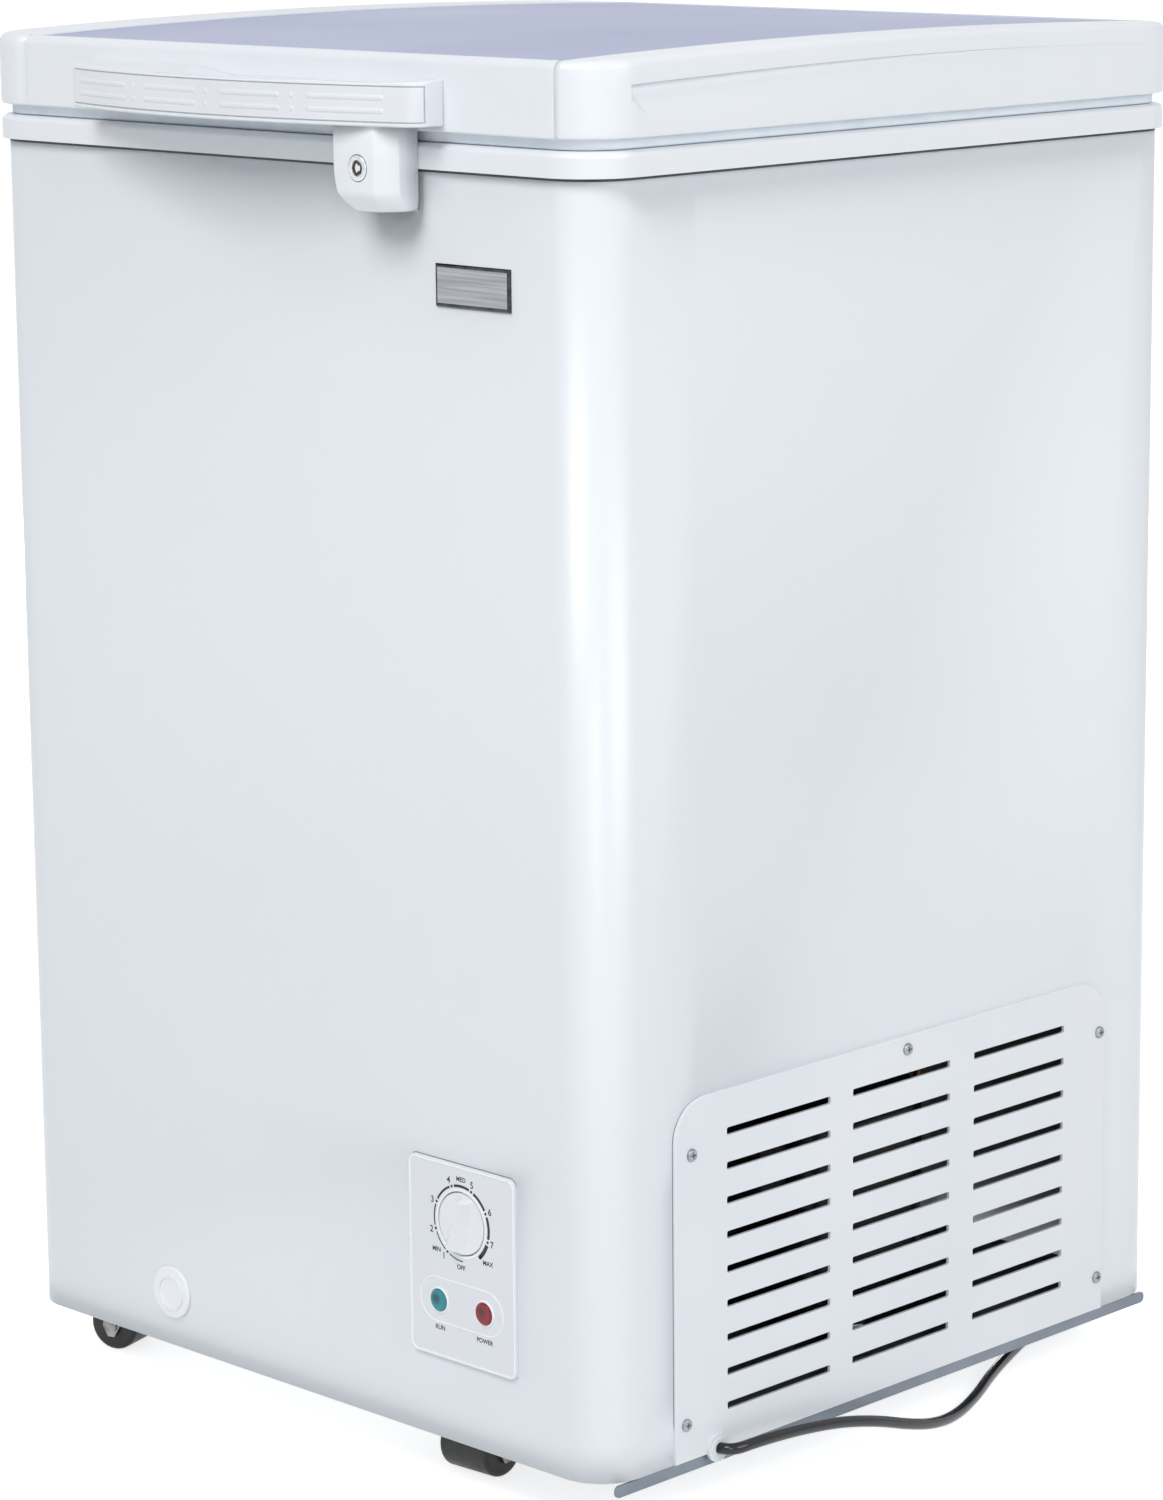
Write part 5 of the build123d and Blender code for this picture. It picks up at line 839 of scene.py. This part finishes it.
# words and numerals: their middles in millimetres from the cabinet's middle line and the floor,
# and the height of their capitals
low_word, numeral, font_capitals, stroke_gain = 2.7, 3.9, 0.69, 0.00010
words = [("OFF", 146.9, 146.2, low_word), ("MIN", 126.4, 153.3, low_word),
         ("MED", 147.7, 199.6, low_word), ("MAX", 169.3, 153.3, low_word),
         ("RUN", 128.6, 105.7, low_word), ("POWER", 165.9, 105.5, low_word),
         ("1", 132.5, 150.4, numeral), ("2", 122.4, 164.7, numeral), ("3", 123.4, 182.9, numeral),
         ("4", 137.3, 197.5, numeral), ("5", 156.7, 197.9, numeral), ("6", 171.3, 184.7, numeral),
         ("7", 172.8, 165.3, numeral)]
facing_front = Matrix.Rotation(math.pi / 2, 4, "X")
lettering = bmesh.new()
for text, x, z, height in words:
    curve = bpy.data.curves.new("word", "FONT")
    curve.body = text
    curve.size = height / font_capitals / 1000
    curve.offset = stroke_gain
    curve.align_x, curve.align_y = "CENTER", "CENTER"
    word = bpy.data.objects.new("word", curve)
    flat = bpy.data.meshes.new_from_object(word)
    flat.transform(Matrix.Translation((x / 1000, print_face, z / 1000)) @ facing_front)
    lettering.from_mesh(flat)
    bpy.data.objects.remove(word)
    bpy.data.meshes.remove(flat)
letters = bpy.data.meshes.new("dial_words")
lettering.to_mesh(letters)
lettering.free()
letters.materials.append(printing_ink)
dial_words = bpy.data.objects.new("dial_words", letters)
scene.collection.objects.link(dial_words)
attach(dial_words, "cabinet")

# ---------------------------------------- badge place
# Thin plate of brushed aluminium in a dark chromed surround, glued to the front at the upper right
# and left bare.

dress(["badge_surround"],
      finish("dark_chrome", (84, 85, 90), (60, 61, 66), 0.004, (0.10, 0.20), 0.0008, 0.000003, metal=1.0))
brushed = finish("brushed_aluminium", (176, 177, 182), (150, 151, 157), 0.0012, (0.30, 0.44), 0.0003,
                 0.000004, metal=0.7)
tree = brushed.node_tree
along_grain = tree.nodes.new("ShaderNodeMapping")
along_grain.inputs["Scale"].default_value = (0.02, 1.0, 1.0)
for taken in list(tree.links):
    if taken.from_node.type == "TEX_COORD":
        tree.links.new(along_grain.outputs[0], taken.to_socket)
place = next(node for node in tree.nodes if node.type == "TEX_COORD")
tree.links.new(place.outputs["Object"], along_grain.inputs["Vector"])
dress(["badge_plate"], brushed)

# ---------------------------------------- drain
# Tube through the foam from the chamber's floor to the front, closed outside by a moulded cap
# with a raised ring and inside by a plug.

# painted light: the cap's moulding is whiter than the other white mouldings, so the cap stands out as a lit
# face
cap_moulding_and_highlight = finish("cap_moulding_and_highlight", (248, 250, 252), (244, 246, 249), 0.05, (0.28, 0.36), 0.0015, 0.000008)
dress(["drain_tube", "drain_cap", "drain_plug"], cap_moulding_and_highlight)

# ---------------------------------------- hinges and keeper
# Pressed zinc-plated brackets and leaves on the back with their pins, and the lock's keeper,
# screwed to the front, with the lip that the cam hooks under.

dress(["hinge_brackets", "hinge_leaves", "hinge_pins",
       "cabinet_screws", "lid_screws", "lock_keeper", "lock_cam"], zinc_steel)

# ---------------------------------------- casters
# Four swivel casters: steel plates with king pins under the cabinet, steel forks that turn on them,
# and black plastic wheels.

caster_steel = finish("caster_steel", (150, 151, 152), (110, 111, 113), 0.008, (0.30, 0.50), 0.0008, 0.000015,
                      metal=1.0)
wheel_plastic = finish("wheel_plastic", (7, 7, 8), (13, 13, 14), 0.01, (0.38, 0.52), 0.0008, 0.00002)
places = ["front_left", "front_right", "rear_left", "rear_right"]
dress(["caster_plates"] + [f"caster_fork_{place}" for place in places], caster_steel)
dress([f"caster_wheel_{place}" for place in places], wheel_plastic)

# ---------------------------------------- lock
# Moulded housing under the handle's right end with a chromed barrel, whose cam hooks under the
# keeper's lip.

housing_low, housing_high = corners("lock_housing")


def housing_plan(level):
    """Plan of the housing at each height: straight sides above; below, the front slopes back and both
    sides draw in along a quarter of an ellipse, the left one further."""
    left_height, left_draw, right_height, right_draw, front_draw = 0.0280, 0.0130, 0.0065, 0.0035, 0.0070
    left_drop = np.clip((housing_low[2] + left_height - level) / left_height, 0.0, 1.0)
    right_drop = np.clip((housing_low[2] + right_height - level) / right_height, 0.0, 1.0)
    left = housing_low[0] + left_draw * (1 - np.sqrt(1 - 0.995 * left_drop ** 2))
    right = housing_high[0] - right_draw * (1 - np.sqrt(1 - 0.99 * right_drop ** 2))
    front = housing_low[1] + front_draw * ease(housing_low[2] + 0.0100 - level, -0.0015, 0.0115)
    return left, right, front


case_corner, case_wall = 0.0030, 0.0018
levels = np.r_[housing_high[2], housing_low[2] + np.linspace(0.0290, 0.0060, 20),
               housing_low[2] + np.linspace(0.0054, 0.0006, 12)]
left, right, front = (side[:, None] for side in housing_plan(levels))
back = np.full_like(left, housing_high[1])
turn = np.linspace(0.0, np.pi / 2, 7)
bevel_x, bevel_y = np.array([0.0081, 0.00108, 0.0]), np.array([0.000936, 0.010062, 0.0117])
plan_x = np.hstack([left, left + case_corner * (1 - np.cos(turn)), right - 0.0100, right - bevel_x, right])
plan_y = np.hstack([back, front + case_corner * (1 - np.sin(turn)), front, front + bevel_y, back])

# the foot closes in three steps to a point in its middle
centre_x, centre_y = (left[-1] + right[-1]) / 2, (front[-1] + back[-1]) / 2
shrink = np.array([[0.97], [0.90], [0.0]])
plan_x = np.concatenate([plan_x, centre_x + (plan_x[-1] - centre_x) * shrink])
plan_y = np.concatenate([plan_y, centre_y + (plan_y[-1] - centre_y) * shrink])
plan_z = np.r_[levels, housing_low[2] + np.array([0.0003, 0.0, 0.0])][:, None]
housing = np.stack(np.broadcast_arrays(plan_x, plan_y, plan_z), axis=-1)
lock_case = piece("lock_case", [grid(housing, flip=True)], white_moulding, "lid",
                  ["lock_housing"], sharp=30)
wall_of(lock_case, case_wall)

# barrel: a bright ring, a groove and a darker core with the keyway, in a hole whose fine gap is painted as a
# dark ring of shadow
lock_low, lock_high = corners("lock_cylinder")
lock_axis = (lock_low[0] + lock_high[0]) / 2, lock_high[2] - (lock_high[0] - lock_low[0]) / 2


def turned(profile):
    """Surface of revolution about the lock's axis, from pairs of radius and distance behind its
    face in millimetres."""
    turn = np.linspace(0.0, 2 * np.pi, 65)[:-1]
    reach, behind = (np.array(profile) / 1000).T[:, :, None]
    points = lock_axis[0] + reach * np.cos(turn), lock_low[1] + behind, lock_axis[1] + reach * np.sin(turn)
    return grid(np.stack(np.broadcast_arrays(*points), axis=-1), around=True)


lock_chrome = finish("lock_chrome", (226, 227, 229), (206, 208, 211), 0.006, (0.16, 0.26), 0.0006, 0.000004,
                     metal=0.8)
lock_core = finish("lock_core", (96, 88, 78), (52, 48, 44), 0.0015, (0.25, 0.45), 0.0006, 0.00002, metal=1.0)
ring_profile = [(7.3, 9.0), (7.3, 0.5), (7.0, 0.1), (6.6, 0.0), (4.6, 0.0), (4.2, 0.5), (4.2, 1.2)]
piece("lock_ring", [turned(ring_profile)], lock_chrome, "lock", ["lock_cylinder"], sharp=40)

# the keyway's floor rises and falls by a sine of four times the angle round the axis
core, core_faces = turned([(4.1, 1.2), (3.9, 0.5), (3.4, 0.4), (2.2, 0.7), (1.6, 1.5), (0.0, 1.6)])
keyway_start, keyway_rise = 0.0006, 0.0006
angle = np.arctan2(core[:, 2] - lock_axis[1], core[:, 0] - lock_axis[0])
core[:, 2] += keyway_rise * np.sin(4 * angle) * (core[:, 1] > lock_low[1] + keyway_start)
piece("lock_keyway", [(core, core_faces)], lock_core, "lock", sharp=30)
# painted shadow: a dark ring on the housing's face round the barrel, for the shade in its gap
piece("lock_shadow_ring", [turned([(7.75, 0.77), (7.36, 0.77)])], painted_shadow, "lid")

# ---------------------------------------- basket
# Injection-moulded lattice basket that hangs on the collar's ledges by its rim and slides along
# them from side to side.

basket_parts = [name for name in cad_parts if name.startswith("basket")]
dress(basket_parts,
      finish("basket_moulding", (228, 232, 236), (220, 225, 231), 0.05, (0.36, 0.46), 0.0012, 0.00001))
